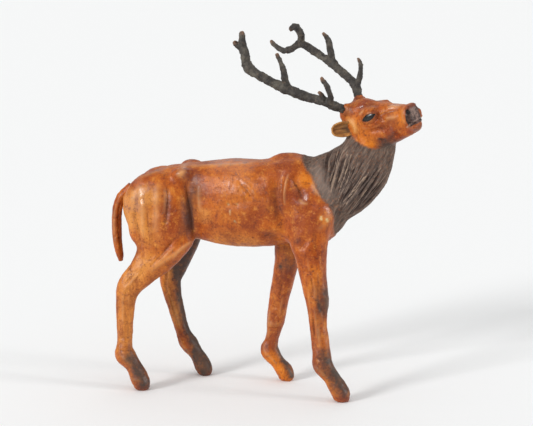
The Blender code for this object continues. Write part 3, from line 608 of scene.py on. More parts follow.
# %% Press the furrows between the locks
DEEP_FURROWS = [
    [(67.4, 249.5), (64, 240), (64.6, 231)], [(76, 251), (72, 238.8), (67.1, 224.4)],
    [(78.6, 250.9), (74.9, 241.1), (71.1, 226.8), (68.7, 213)],
    [(82.7, 246.3), (80.1, 238.5), (78.2, 228.6), (76.4, 217.8)],
    [(89.7, 245.3), (86.9, 236.7), (85.2, 223.5)], [(94.1, 234), (89.5, 227.6)],
    [(101.4, 226.2), (91.8, 214), (79.5, 200.3)], [(107.2, 224.6), (99.6, 215.8), (84, 198.8)],
    [(116, 234.7), (108, 222.3), (96.1, 204.9)], [(117.6, 230), (105.2, 208.9), (95.7, 196.5)],
    [(121.4, 221.9), (113.3, 212.5), (100.2, 198.1), (85.7, 184.1)],
    [(113, 207.3), (101, 194.7), (91.1, 186.7)],
]
FAN_TOP = np.array([(60, 254), (67, 256), (76, 256), (84, 254), (91, 252), (99, 246), (107, 243),
                    (115, 243), (123, 243), (129, 238), (132, 228), (133, 218)], float)
FAN_FOOT = np.array([(61, 222), (64, 214), (67, 208), (71, 203), (74, 199), (76, 196), (77, 192),
                     (79, 189), (83, 185), (88, 181), (96, 181), (106, 184)], float)
FINE_FURROWS, FINE_WIDTH = 60, 0.8
DEEP_WIDTH, DEEP_DEPTH, FINE_DEPTHS = 1.1, 1.5, (0.3, 0.9)
BESIDE, BESIDE_WIDTH, BESIDE_RIDGE = (2.1, -0.7), 1.0, 0.6
lots = np.random.default_rng(7)


def lock_route(share, start, end, bow):
    """One lock's line, from its share across the fan and the part of the way it covers."""
    row = share * (len(FAN_TOP) - 1)
    low = min(int(row), len(FAN_TOP) - 2)
    top = FAN_TOP[low] + (row - low) * (FAN_TOP[low + 1] - FAN_TOP[low])
    foot = FAN_FOOT[low] + (row - low) * (FAN_FOOT[low + 1] - FAN_FOOT[low])
    first, last = top + (foot - top) * start, top + (foot - top) * end
    middle = (first + last) / 2 + np.array((bow, -0.6 * bow))
    return np.array([first, middle, last])


def chance_routes(count, latest, longest):
    """Routes spread evenly across the fan; chance says what part of the way each covers."""
    for lock in range(count):
        share = (lock + lots.uniform(0, 1)) / count
        start = lots.uniform(0, latest)
        end = min(1.0, start + lots.uniform(0.4, longest))
        yield lock_route(share, start, end, lots.uniform(0, 0.8))


def shifted(route, shift):
    """A flat route moved aside."""
    return [(x + shift[0], z + shift[1]) for x, z in route]


furrowed = np.zeros(len(hide.press))
for side in (-1, 1):
    for route in DEEP_FURROWS:
        beside = shifted(route, BESIDE)
        furrowed += DEEP_DEPTH * hide.under(route, DEEP_WIDTH, side=side, among=collar)
        furrowed -= BESIDE_RIDGE * hide.under(beside, BESIDE_WIDTH, side=side, among=collar)
    for route in chance_routes(FINE_FURROWS, 0.4, 0.8):
        furrowed += lots.uniform(*FINE_DEPTHS) * hide.under(route, FINE_WIDTH, side=side, among=collar)
hide.press += furrowed * collar
print("furrows:", 2 * (len(DEEP_FURROWS) + FINE_FURROWS))

# %% [markdown]
# ## Stains, worn places and painted shade
# The dye is uneven: orange on the barrel, tan over the haunch and hind legs, redder on the
# shoulder. Dark stain was brushed up the front of each pastern and on one knee. Dark marks
# also paint shade: in the flank's hollow, in deep folds and dimples, and on the far legs,
# which lie behind the body. Wax shows where hands rubbed the ridges to a gloss, and a chip is
# a place where the surface flaked off. Every stain is a soft stroke with a width, a strength
# and a route, and only the nose pad is masked by its own edges.

# %% Stain the hide
TRUNK_STAINS = {
    "tan": [(22, 0.9, [(-128, 208), (-130, 182), (-126, 160)]), (12, 0.7, [(-112, 212), (-112, 190)]),
            (12, 0.5, [(-114, 170), (-112, 148)]), (7, 0.6, [(-84, 220), (-78, 224)]),
            (8, 0.6, [(-58, 190), (-58, 172)]), (12, 0.4, [(-56, 160), (-30, 156), (0, 156)])],
    "red": [(16, 0.6, [(30, 196), (50, 190), (60, 182)]), (13, 0.5, [(22, 182), (40, 172), (58, 172)]),
            (10, 0.6, [(-92, 196), (-88, 172), (-92, 152)]), (14, 0.7, [(14, 226), (34, 232)]),
            (8, 0.5, [(28, 214), (34, 200)]),
            (12, 0.5, [(-10, 190), (6, 186)]), (10, 0.9, [(50, 180), (63, 178)]),
            (5, 0.7, [(39, 160)]), (5, 0.7, [(55, 142)]),
            (18, 0.8, [(-44, 194), (-14, 186), (4, 178)]), (9, 0.5, [(24, 214), (24, 196)])],
    # Painted shade: the dark marks of this list lie in the flank's hollow and in the folds of haunch,
    # shoulder and elbow.
    "smoke": [(7, 0.75, [(-67, 226), (-70, 211), (-72.5, 193), (-74.5, 176), (-75, 156)]),
              (3, 0.5, [(-75, 200), (-73, 186), (-71, 160)]), (8, 0.25, [(-63, 214), (-61, 196)]),
              (4, 0.45, [(-94, 208), (-94, 190), (-95, 174)]), (9, 0.35, [(18, 216), (14, 196), (16, 180)]),
              (4, 0.3, [(34, 218), (38, 210), (43, 203)]), (6, 0.4, [(2, 163), (16, 161)]),
              (4, 0.45, [(38, 161)])],
    "glow": [(18, 0.9, [(-40, 212), (-20, 213), (0, 216)]), (13, 0.25, [(-50, 190), (-20, 184), (0, 186)]),
             (9, 0.8, [(40, 228), (48, 214)]), (7, 0.6, [(32, 196), (36, 186)]),
             (7, 0.5, [(30, 142), (36, 128)]), (3, 0.9, [(61.5, 185)]), (3, 0.8, [(66.6, 183)])],
    "pale": [(13, 0.8, [(48, 236), (57, 220), (64, 204), (70, 196)])],
    "wax": [(13, 1.0, [(-117, 204), (-128, 201)]), (7, 0.9, [(-129, 198), (-127, 182)]),
            (5, 0.9, [(-84, 222), (-78, 226)]), (5, 0.9, [(-58, 229), (-30, 230), (-6, 228)]),
            (4, 1.0, [(42, 203), (46, 200)]), (4, 1.0, [(52, 217), (58, 208)]),
            (5, 1.0, [(66.5, 197), (68, 184)]), (12, 0.5, [(-40, 218), (-10, 218)])],
}
RIGHT_LEG_STAINS = {
    "tan": [(16, 0.7, [(-118, 130), (-134, 110), (-138, 80), (-138, 50)])],
    # The thin dark line along the near knee's pressed crease is painted shade; the other grey marks are
    # stain on the knee and pasterns.
    "ash_and_shade": [(8, 1.0, [(-132, 33), (-126.5, 25), (-121, 16), (-118, 9)]),
            (5, 0.5, [(68, 111), (70, 104), (69, 93)]), (2.0, 0.7, [(59, 104), (60, 101), (62, 92)]),
            (8, 0.9, [(68, 45), (74, 35), (81, 24), (89, 12)])],
    "smoke": [(7, 0.5, [(64, 112), (66, 102), (65, 90)]), (7, 0.5, [(62, 36), (72, 24), (80, 12)]),
              (12, 0.3, [(58, 118), (61, 90), (62, 50)])],
    "red": [(3, 0.9, [(-134, 3), (-112, 3)]), (10, 0.9, [(82, 6), (92, 6)]),
            (6, 0.8, [(58, 34), (62, 28)]), (6, 0.5, [(54, 66), (56, 50)])],
    # The small orange spot on the near knee is a painted highlight.
    "glow": [(5, 0.8, [(66, 30), (72, 20), (77, 10)]), (2.4, 1.0, [(63, 98.4)]),
             (5, 0.7, [(-134, 14), (-130, 7)])],
}
LEFT_LEG_STAINS = {
    "tan": [(6, 0.6, [(-104, 116), (-108, 96), (-100, 60)])],
    # The broad grey mark at the top of the far hind leg, the spot on the far fore's knot and the light
    # darkening down the far fore are painted shade.
    "ash_and_shade": [(14, 0.95, [(-70, 152), (-79, 141), (-86, 130), (-91, 119)]),
            (6, 1.0, [(-94.7, 111), (-96, 92), (-94, 74), (-89, 50), (-79, 30), (-72, 16)]),
            (11, 1.0, [(-77, 20), (-72, 8)]), (3.4, 1.0, [(7, 34), (11, 24), (19, 11), (21, 6)]),
            (3.0, 0.9, [(10.7, 123.3)]), (9.0, 0.5, [(22, 136), (20, 126)])],
    "smoke": [(12, 0.3, [(14, 130), (8, 70), (4, 40)])],
    "red": [(3, 0.9, [(-88, 3), (-64, 3)]), (8, 0.5, [(4, 62), (5, 44)])],
    "glow": [(9, 0.9, [(0, 24), (8, 14), (14, 5)])],
}
HEAD_STAINS = {
    "glow": [(8, 0.9, [(14, -40), (24, -42), (32, -42)]), (6, 0.3, [(58, -24), (62, -32)]),
             (3, 0.4, [(66.5, -17), (65, -22), (65, -31)]), (6, 0.5, [(24, -6), (38, -8)])],
    "tan": [(6, 0.3, [(44, -24), (54, -24), (60, -22)]),
            (4, 0.9, [(1, -13), (8, -18), (11.4, -24), (9, -31)])],
    "red": [(7, 1.0, [(64, -42), (74, -38)]), (6, 0.7, [(40, -36), (54, -34)]),
            (6, 0.9, [(27, -43), (33, -40)]), (4.5, 1.0, [(73, -14), (78, -17)]),
            (7, 0.4, [(20, -2), (34, -6)])],
    # The two small dark spots in the cheek's pressed dimples and the short line in the muzzle's crease are
    # painted shade.
    "smoke": [(4, 0.6, [(72, -13), (79, -16)]), (4, 0.55, [(72, -40), (77, -37)]),
              (4, 0.5, [(34, -42), (39, -44)]), (3, 0.3, [(40, -19), (44, -21)]),
              (6, 0.6, [(6, -12), (4, -2)]), (6, 1.0, [(27, -50), (38, -48), (50, -44)]),
              (1.8, 1.0, [(33.8, -39.8)]), (1.8, 1.0, [(37.1, -43.1)])],
    "ash_and_shade": [(6, 0.7, [(29, -52), (42, -49)])],
    "wax": [(4, 1.0, [(20, -10), (25, -9)]), (4, 1.0, [(50, -13), (62, -13.5)]),
            (4, 0.6, [(48, -32), (52, -33)]), (4, 0.8, [(70, -40), (74, -37)])],
}
CHIPS = {
    "chip": [(1.1, 1.0, [(61.3, 187.4), (61.9, 182.0)]), (0.9, 1.0, [(66.3, 185.0), (67.0, 180.0)]),
             (1.2, 0.3, [(-32.8, 196.4), (-31, 194)]), (0.9, 0.35, [(-24.4, 195.8), (-21.4, 194.8)]),
             (0.8, 0.4, [(-30, 189), (-29.8, 184)]), (1.2, 0.3, [(-26.4, 179), (-23.6, 176)])],
}
PAD_FRONT, PAD_SLOPE, PAD_BOTTOM, PAD_TOP, PAD_LEFT = 72.0, 0.234, -34.4, -16.6, 6.5
for side in (-1, 1):
    hide.brush(TRUNK_STAINS, half=side)
    hide.brush(HEAD_STAINS, "head", half=side)
hide.brush(CHIPS, half=-1)
hide.brush(RIGHT_LEG_STAINS, half=-1, taper=False)
hide.brush(LEFT_LEG_STAINS, half=1, taper=False)
hide.stains["pale"] *= np.where(hide.is_head, 1.0, hide.stains["mane"])
ahead, left, above = hide.spaces["head"][0].T
pad_edge = PAD_FRONT + PAD_SLOPE * (above + 16.8)
pad = np.clip(ahead - pad_edge, 0, 1) * np.clip((above - PAD_BOTTOM) / 1.2, 0, 1) * hide.is_head
pad *= np.clip((PAD_TOP - above) / 1.8, 0, 1) * np.clip((PAD_LEFT - left) / 2, 0, 1)
hide.stain("pad", pad)
# The pad is lighter in its middle, partly as a painted highlight, and near black low on its near side, as
# painted shade.
hide.stain("pale", 0.9 * pad * np.exp(-((left + 2) / 5) ** 2 - ((above + 22) / 6) ** 2))
hide.stain("hole_shade", 0.55 * pad * np.exp(-((left + 9) / 3) ** 2 - ((above + 27) / 6) ** 2))
hide.apply()
print("stains:", {name: round(float(amount.mean()), 3) for name, amount in hide.stains.items()})

# %% [markdown]
# ## One way to add a node
# Materials and geometry trees are both built from nodes. One function adds a node with its
# settings, its plain values and the links that feed it, so each line below reads as one step.
# Colours are given as screen hex codes and turned into the linear values that light needs.

# %% Node and colour helpers


def add_node(tree, kind, feeds=None, values=None, **settings):
    """Add one node with its settings, its values and the sockets that feed it."""
    node = tree.nodes.new(kind)
    for key, value in settings.items():
        setattr(node, key, value)
    for key, value in (values or {}).items():
        node.inputs[key].default_value = value
    for key, source in (feeds or {}).items():
        tree.links.new(source, node.inputs[key])
    return node


def linear(code):
    """Turn a screen colour into linear values."""
    parts = [int(code[i:i + 2], 16) / 255 for i in (0, 2, 4)]
    return [c / 12.92 if c <= 0.04045 else ((c + 0.055) / 1.055) ** 2.4 for c in parts] + [1.0]


def new_material(name, roughness, ior, coat=0.0, coat_roughness=0.1):
    """A material, its tree, its shader with plain numbers set, and places on the object."""
    material = bpy.data.materials.new(name)
    material.use_nodes = True
    tree = material.node_tree
    shader = tree.nodes["Principled BSDF"]
    for socket, value in (("Metallic", 0.0), ("Roughness", roughness), ("IOR", ior),
                          ("Coat Weight", coat), ("Coat Roughness", coat_roughness)):
        shader.inputs[socket].default_value = value
    return material, tree, shader, add_node(tree, "ShaderNodeTexCoord").outputs["Object"]


print("mid leather brown in linear light:", [round(c, 3) for c in linear("B5622B")])

# %% [markdown]
# ## Burnished vegetable-tanned leather
# The real surface is dyed goat or cow leather, wetted, moulded and rubbed with wax. The dye
# soaks in unevenly, so the colour wanders over patches of 26 mm, blots of 8 mm and specks of
# 2 mm, and fine cracks run through it. Stain and painted shade darken the creases, hollows and
# far legs, and rubbing lightens the ridges, together with a painted highlight. Wax gives a
# gloss to the places that hands rub most. The mane has the same leather under a grey-brown
# stain, without the wax, with painted shade in its furrows.

# %% Make the leather


def layered(tree, colour, *layers):
    """Lay colours over what is there, each with a mask; a colour is a code or a socket."""
    for top, mask in layers:
        mix = add_node(tree, "ShaderNodeMix", {0: mask, 6: colour}, data_type="RGBA")
        if isinstance(top, str):
            mix.inputs[7].default_value = linear(top)
        else:
            tree.links.new(top, mix.inputs[7])
        colour = mix.outputs[2]
    return colour


def noise(tree, place, size_mm, detail=4.0, roughness=0.6):
    """A noise whose features have a size in millimetres."""
    return add_node(tree, "ShaderNodeTexNoise", {"Vector": place},
                    {"Scale": 1 / MM / size_mm, "Detail": detail, "Roughness": roughness}).outputs["Fac"]


def ramp_of(tree, factor, *stops):
    """A colour ramp from (position, colour) stops."""
    ramp = add_node(tree, "ShaderNodeValToRGB", {"Fac": factor})
    elements = ramp.color_ramp.elements
    while len(elements) < len(stops):
        elements.new(0.5)
    for element, (position, code) in zip(elements, stops):
        element.position = position
        element.color = linear(code)
    return ramp.outputs["Color"]


def between(tree, value, low, high, most):
    """Turn a range of a noise into a mask from nothing to most; low may be the higher end."""
    return add_node(tree, "ShaderNodeMapRange", {"Value": value},
                    {"From Min": low, "From Max": high, "To Min": 0.0, "To Max": most}).outputs[0]


def math_node(tree, operation, first, second, clamp=False):
    """One sum; either side may be a socket or a plain number."""
    feeds = {i: v for i, v in enumerate((first, second)) if not isinstance(v, (int, float))}
    values = {i: v for i, v in enumerate((first, second)) if isinstance(v, (int, float))}
    return add_node(tree, "ShaderNodeMath", feeds, values,
                    operation=operation, use_clamp=clamp).outputs[0]


def stain_mask(tree, name, ragged=None, strength=1.0, spread=1.0):
    """Read a stain from the mesh, and let a noise push its edge in and out."""
    value = add_node(tree, "ShaderNodeAttribute", attribute_name=name).outputs["Fac"]
    if ragged is not None:
        shift = math_node(tree, "MULTIPLY", math_node(tree, "SUBTRACT", ragged, 0.5), spread)
        room = math_node(tree, "MULTIPLY", value, math_node(tree, "SUBTRACT", 1.4, value))
        push = math_node(tree, "MULTIPLY", shift, math_node(tree, "MULTIPLY", room, 3.0))
        value = math_node(tree, "ADD", value, push, clamp=True)
    return math_node(tree, "MULTIPLY", value, strength, clamp=True)


def thin_lines(tree, place, size_mm, width, most):
    """Wandering hairlines: the places where a noise passes through its middle value."""
    wave = noise(tree, place, size_mm, 2.0, 0.5)
    off_middle = math_node(tree, "ABSOLUTE", math_node(tree, "SUBTRACT", wave, 0.5), 0.0)
    return between(tree, off_middle, width, 0.0, most)


leather, tree, shader, place = new_material("burnished_leather", 0.4, 1.5, 0.3, 0.2)
upright = add_node(tree, "ShaderNodeMapping", {"Vector": place}, {"Scale": (1.0, 1.0, 0.22)}).outputs[0]
patches = noise(tree, place, 26, 5.0)
blots = noise(tree, place, 8, 5.0, 0.7)
specks = noise(tree, place, 2.0, 3.0, 0.65)
streaks = noise(tree, upright, 4.5, 3.0)
hairlines = math_node(tree, "MULTIPLY", thin_lines(tree, place, 11, 0.012, 1.0),
                      between(tree, blots, 0.50, 0.60, 0.7))
colour = layered(
    tree, ramp_of(tree, patches, (0.34, "843507"), (0.50, "A85010"), (0.68, "C46A16")),
    ("CE8940", stain_mask(tree, "tan", patches, 0.85)),
    ("85371A", stain_mask(tree, "red", patches, 0.8)),
    # Glow is brighter orange dye, with one small painted highlight on the near knee.
    ("D27612", stain_mask(tree, "glow", patches, 0.75)),
    ("793013", between(tree, blots, 0.52, 0.68, 0.6)),
    ("D68C3A", between(tree, blots, 0.46, 0.30, 0.5)),
    ("763416", between(tree, streaks, 0.54, 0.70, 0.5)),
    ("5E2A16", between(tree, specks, 0.57, 0.70, 0.65)),
    ("D58A3C", between(tree, specks, 0.42, 0.28, 0.35)),
    ("45210F", hairlines),
    # Lighter ridges are wear and a painted highlight; the dark marks that follow are stain and painted
    # shade in creases, hollows and on the far legs.
    ("D8A068", stain_mask(tree, "rub_and_highlight", specks, 0.45)),
    ("4A322B", stain_mask(tree, "smoke", blots, 0.85, 0.6)),
    ("393530", stain_mask(tree, "ash_and_shade", blots, 0.9)),
    ("43200F", stain_mask(tree, "crease", specks, 0.7)),
    ("D8C38C", stain_mask(tree, "chip", specks, 0.85, 1.6)))

along_fur = add_node(tree, "ShaderNodeMapping", {"Vector": place},
                     {"Rotation": (0.0, 0.53, 0.0), "Scale": (1.0, 1.0, 7.0)},
                     vector_type="TEXTURE").outputs[0]
# On the mane, lighter crests are wear and a painted highlight, and the dark furrows are painted shade.
fur = layered(
    tree, ramp_of(tree, noise(tree, along_fur, 2.0), (0.34, "4D3F38"), (0.52, "6D5B50"), (0.70, "917D6E")),
    ("9C8B80", stain_mask(tree, "pale", patches, 0.5)),
    ("A39382", stain_mask(tree, "rub_and_highlight", specks, 0.85)),
    ("2B211E", stain_mask(tree, "crease", None, 0.85)))
mane_mask = stain_mask(tree, "mane", specks)
bare = math_node(tree, "SUBTRACT", 1.0, mane_mask)
# Near black in the nostrils, the mouth's line and low on the pad is painted shade; the pad's lighter middle
# is partly a painted highlight, and the lip's edge is paler.
colour = layered(
    tree, colour, (fur, mane_mask),
    ("6B4A40", stain_mask(tree, "pad", None, 0.95)),
    ("2C1B17", math_node(tree, "MULTIPLY", between(tree, blots, 0.62, 0.42, 1.0), stain_mask(tree, "pad"))),
    ("A2877B", math_node(tree, "MULTIPLY", bare, stain_mask(tree, "pale", specks, 0.75, 2.2))),
    ("0E0908", stain_mask(tree, "hole_shade")))
tree.links.new(colour, shader.inputs["Base Color"])

gloss = add_node(tree, "ShaderNodeMapRange", {"Value": patches},
                 {"From Min": 0.3, "From Max": 0.7, "To Min": 0.34, "To Max": 0.48}).outputs[0]
rough = math_node(tree, "ADD", gloss, math_node(tree, "MULTIPLY", mane_mask, 0.34))
tree.links.new(rough, shader.inputs["Roughness"])
height = math_node(tree, "ADD", noise(tree, place, 1.1, 2.0), math_node(tree, "MULTIPLY", blots, 1.6))
height = math_node(tree, "SUBTRACT", height, hairlines)
relief = add_node(tree, "ShaderNodeBump", {"Height": height}, {"Strength": 0.7, "Distance": 0.35 * MM})
tree.links.new(relief.outputs["Normal"], shader.inputs["Normal"])
tree.links.new(relief.outputs["Normal"], shader.inputs["Coat Normal"])
wax = math_node(tree, "MULTIPLY", bare, stain_mask(tree, "wax", blots))
coat = math_node(tree, "ADD", math_node(tree, "MULTIPLY", wax, 0.8), math_node(tree, "MULTIPLY", bare, 0.1))
tree.links.new(coat, shader.inputs["Coat Weight"])
sheen = math_node(tree, "ADD", math_node(tree, "MULTIPLY", wax, 0.3), 0.24)
tree.links.new(sheen, shader.inputs["Specular IOR Level"])
print("leather nodes:", len(tree.nodes))

# %% [markdown]
# ## Lids
# An eye looks alive when the lids hold it: an almond opening, pointed at both corners, with
# a soft fold round it. Each lid ring is a patch of rows laid from the opening's edge, on the
# glass, out to the face, where the last row sinks just under the skin. The opening's edge is
# darkened as painted shade, and painted shade fades out over the fold. It is joined to the
# body's mesh, so both are one piece of leather.

# %% Lay the lids
OPENING = (7.7, 3.1)
BEAD = (8.7, 4.5, 3.4)
LID_STEPS = 48
LID_ROWS = [(0.00, -0.5, 1.0), (0.02, 0.35, 1.0), (0.18, 0.75, 0.9), (0.42, 0.55, 0.6), (0.72, 0.3, 0.2),
            (1.0, -0.35, 0.0)]
LID_EDGE, EDGE_SHADE, EDGE_CREASE_SHADE, FOLD_SHADE = 0.1, 0.9, 0.8, 0.5
RAY_HEIGHT, RAY_LENGTH = 14, 30


def skin_tree(obj):
    """A search tree of a mesh's surface."""
    return BVHTree.FromPolygons([vertex.co.copy() for vertex in obj.data.vertices],
                                [tuple(polygon.vertices) for polygon in obj.data.polygons])


def almond(turn):
    """A point on the opening's edge: pointed at both corners, fuller above."""
    along = math.cos(turn)
    above = math.sin(turn) * (1 - 0.55 * along ** 2) * (1.0 if math.sin(turn) > 0 else 0.92)
    return OPENING[0] * along, OPENING[1] * above


def bead_height(along, above):
    """How far the glass stands out at a place, in millimetres."""
    return BEAD[2] * math.sqrt(max(0.0, 1 - (along / BEAD[0]) ** 2 - (above / BEAD[1]) ** 2))


face_surface = skin_tree(body)
lids = bmesh.new()
lids.from_mesh(body.data)
lid_shade_layer = lids.verts.layers.float["smoke"]
lid_crease_shade_layer = lids.verts.layers.float["crease"]
for side in (-1, 1):
    centre, line, up, out = eye_axes(side)
    rings = []
    for share, lift, hold in LID_ROWS:
        ring = []
        for step in range(LID_STEPS):
            turn = 2 * math.pi * step / LID_STEPS
            ax, az = almond(turn)
            bx, bz = LID_REACH[0] * math.cos(turn), LID_REACH[1] * math.sin(turn)
            far = centre + (line * bx + up * bz + out * RAY_HEIGHT) * MM
            hit = face_surface.ray_cast(far, -out, RAY_LENGTH * MM)
            skin_height = RAY_HEIGHT - hit[3] / MM if hit[0] is not None else 0.0
            height = hold * bead_height(ax, az) + (1 - hold) * skin_height + lift
            x, z = ax + (bx - ax) * share, az + (bz - az) * share
            vertex = lids.verts.new(centre + (line * x + up * z + out * height) * MM)
            # Painted shade: darkest on the opening's edge, fading out over the fold.
            vertex[lid_shade_layer] = EDGE_SHADE if share < LID_EDGE else FOLD_SHADE * (1 - share)
            vertex[lid_crease_shade_layer] = EDGE_CREASE_SHADE if share < LID_EDGE else 0.0
            ring.append(vertex)
        rings.append(ring)
    for first, second in zip(rings, rings[1:]):
        for i in range(LID_STEPS):
            j = (i + 1) % LID_STEPS
            corners = (first[i], second[i], second[j], first[j])
            lids.faces.new(corners if side > 0 else corners[::-1])
lids.to_mesh(body.data)
lids.free()
print("lid rows:", len(LID_ROWS), "points round:", LID_STEPS)

# %% [markdown]
# ## Relief that follows a rule
# Hand-pressed leather is never quite even, and the wrapped antlers are lumpier still. Both
# are the same rule at different sizes: broad lumps with smaller knots on them, along the
# surface's own normals. Geometry Nodes suits a rule like this, because one tree serves every
# piece and each piece only sets its own heights and sizes.

# %% A tree that roughens a surface


def new_tree(name, inputs):
    """An empty geometry tree with a geometry input and output and named inputs."""
    group = bpy.data.node_groups.new(name, "GeometryNodeTree")
    group.interface.new_socket("Geometry", in_out="INPUT", socket_type="NodeSocketGeometry")
    group.interface.new_socket("Geometry", in_out="OUTPUT", socket_type="NodeSocketGeometry")
    for label, kind, value in inputs:
        socket = group.interface.new_socket(label, in_out="INPUT", socket_type=kind)
        if value is not None:
            socket.default_value = value
    return group, group.nodes.new("NodeGroupInput").outputs


def run_tree(obj, group, **sizes):
    """Run a tree on an object with its inputs set, and keep the result as a plain mesh."""
    modifier = obj.modifiers.new(group.name, "NODES")
    modifier.node_group = group
    for item in group.interface.items_tree:
        label = item.name.lower().replace(" ", "_")
        if item.in_out == "INPUT" and label in sizes:
            modifier[item.identifier] = sizes[label]
    settle(obj)
    obj.data.shade_smooth()
    return obj


def finish_tree(group, geometry, material):
    """End a tree: make instances real and dress the result."""
    plain = add_node(group, "GeometryNodeRealizeInstances", {"Geometry": geometry}).outputs[0]
    dressed = add_node(group, "GeometryNodeSetMaterial",
                       {"Geometry": plain, "Material": material}).outputs[0]
    add_node(group, "NodeGroupOutput", {"Geometry": dressed})


relief_tree, given = new_tree("hand_pressed_relief", [
    ("Lump Height", "NodeSocketFloat", 0.3), ("Lump Size", "NodeSocketFloat", 8.0),
    ("Knot Height", "NodeSocketFloat", 0.1), ("Knot Size", "NodeSocketFloat", 2.5),
    ("Seed", "NodeSocketFloat", 1.0), ("Material", "NodeSocketMaterial", None)])
shape = given["Geometry"]
for height, size in (("Lump Height", "Lump Size"), ("Knot Height", "Knot Size")):
    scale = math_node(relief_tree, "DIVIDE", 1 / MM, given[size])
    bumps = add_node(relief_tree, "ShaderNodeTexNoise", {"Scale": scale, "W": given["Seed"]},
                     {"Detail": 1.5}, noise_dimensions="4D").outputs["Fac"]
    metres = math_node(relief_tree, "MULTIPLY", given[height], 2 * MM)
    step = math_node(relief_tree, "MULTIPLY", math_node(relief_tree, "SUBTRACT", bumps, 0.5), metres)
    normal = add_node(relief_tree, "GeometryNodeInputNormal").outputs[0]
    push = add_node(relief_tree, "ShaderNodeVectorMath", {0: normal, "Scale": step},
                    operation="SCALE").outputs[0]
    shape = add_node(relief_tree, "GeometryNodeSetPosition",
                     {"Geometry": shape, "Offset": push}).outputs[0]
finish_tree(relief_tree, shape, given["Material"])
body = run_tree(body, relief_tree, lump_height=0.5, lump_size=9.0, knot_height=0.2,
                knot_size=3.2, seed=2.0, material=leather)
for vertex in body.data.vertices:
    vertex.co.z = max(vertex.co.z, 0.0)
print("body after relief:", len(body.data.polygons), "faces")

# %% [markdown]
# ## Locks that follow the neck
# Between the furrows the maker drew finer locks, each a thin raised thread of leather. They
# are lines first: points of the fan thrown sideways onto the neck until they touch it. A
# second tree then turns every line into a tapered strand. Lines are quick to move, and the
# tree gives all of them one cross-section.

# %% Draw guide lines on the neck
surface = skin_tree(body)
LOCKS_PER_SIDE = 46
LOCK_STEPS = 8
LOCK_LIFT = -0.62
LOCK_BESIDE = (1.9, -0.6)
RAY_START, RAY_REACH = 80, 200
STEEPEST = 0.12
FEWEST_POINTS, MANE_MARGIN = 5, 2.5


def guide_points(route, side):
    """Throw a flat route sideways onto the neck."""
    found = []
    for x, z in smooth_route(route, LOCK_STEPS):
        start = BODY @ Vector((x, side * RAY_START, z))
        hit, normal, _, _ = surface.ray_cast(start, Vector((0, -side, 0)), RAY_REACH * MM)
        if hit is None or normal.y * side < STEEPEST:
            break
        found.append(hit + normal * LOCK_LIFT * MM)
    return found


guides = bmesh.new()
tone_layer = guides.verts.layers.float.new("tone")
lock_count = 0
for side in (-1, 1):
    routes = [shifted(route, LOCK_BESIDE) for route in DEEP_FURROWS]
    routes += chance_routes(LOCKS_PER_SIDE, 0.45, 0.7)
    for route in routes:
        tone = lots.uniform(0, 1)
        points = guide_points(route, side)
        flat = np.array([(p.x / MM - FIGURE_TO_MIDDLE.x, p.z / MM) for p in points]).reshape(-1, 2)
        if len(points) < FEWEST_POINTS or inside_loop(flat, MANE_LOOP).min() < MANE_MARGIN:
            continue
        made = [guides.verts.new(point) for point in points]
        for vertex in made:
            vertex[tone_layer] = tone
        for first, second in zip(made, made[1:]):
            guides.edges.new((first, second))
        lock_count += 1
mane = object_from(guides, "mane_locks")
print("guide lines:", lock_count)

# %% [markdown]
# ## Stained leather threads
# The locks were rubbed with the same dark stain, and handling wore their crests back to a
# light tan. So each strand has its own tone between the two.

# %% Make the strands
strand_leather, tree, shader, place = new_material("stained_mane_leather", 0.74, 1.5)
tone = add_node(tree, "ShaderNodeAttribute", attribute_name="tone").outputs["Fac"]
both = math_node(tree, "ADD", math_node(tree, "MULTIPLY", noise(tree, place, 5, 4.0), 0.7),
                 math_node(tree, "MULTIPLY", tone, 0.3))
tree.links.new(ramp_of(tree, both, (0.36, "483A33"), (0.50, "64534A"), (0.68, "917A67")),
               shader.inputs["Base Color"])

strand_tree, given = new_tree("tapered_strands", [
    ("Thickness", "NodeSocketFloat", 1.0), ("Spacing", "NodeSocketFloat", 1.5),
    ("Seed", "NodeSocketInt", 3), ("Material", "NodeSocketMaterial", None)])
lines = add_node(strand_tree, "GeometryNodeMeshToCurve", {"Mesh": given["Geometry"]}).outputs[0]
even = add_node(strand_tree, "GeometryNodeResampleCurve",
                {"Curve": lines, "Length": math_node(strand_tree, "MULTIPLY", given["Spacing"], MM)},
                mode="LENGTH")
along = add_node(strand_tree, "GeometryNodeSplineParameter").outputs["Factor"]
hump = math_node(strand_tree, "MULTIPLY", along, math_node(strand_tree, "SUBTRACT", 1.0, along))
chance = add_node(strand_tree, "FunctionNodeRandomValue", {"Seed": given["Seed"]},
                  {2: 1.75, 3: 2.2}, data_type="FLOAT").outputs[1]
girth = math_node(strand_tree, "MULTIPLY", math_node(strand_tree, "POWER", hump, 0.5), chance)
sized = add_node(strand_tree, "GeometryNodeSetCurveRadius",
                 {"Curve": even.outputs[0], "Radius": girth}).outputs[0]
section = add_node(strand_tree, "GeometryNodeCurvePrimitiveCircle",
                   {"Radius": math_node(strand_tree, "MULTIPLY", given["Thickness"], 0.5 * MM)},
                   {"Resolution": 10}).outputs[0]
tubes = add_node(strand_tree, "GeometryNodeCurveToMesh", {"Curve": sized, "Profile Curve": section},
                 {"Fill Caps": True}).outputs[0]
finish_tree(strand_tree, tubes, given["Material"])
mane = run_tree(mane, strand_tree, thickness=1.6, spacing=1.3, seed=3, material=strand_leather)
print("mane locks:", len(mane.data.polygons), "faces")

# %% [markdown]
# ## Wrapped and painted antlers
# The antlers are wire and twig, wrapped in strips, dipped in glue and painted charcoal. The
# paint is dead matt, with a green-grey bloom in places, and it has rubbed off the tips, where
# bare brown shows. The wrapping makes them lumpy, which is the same relief tree at other
# sizes.

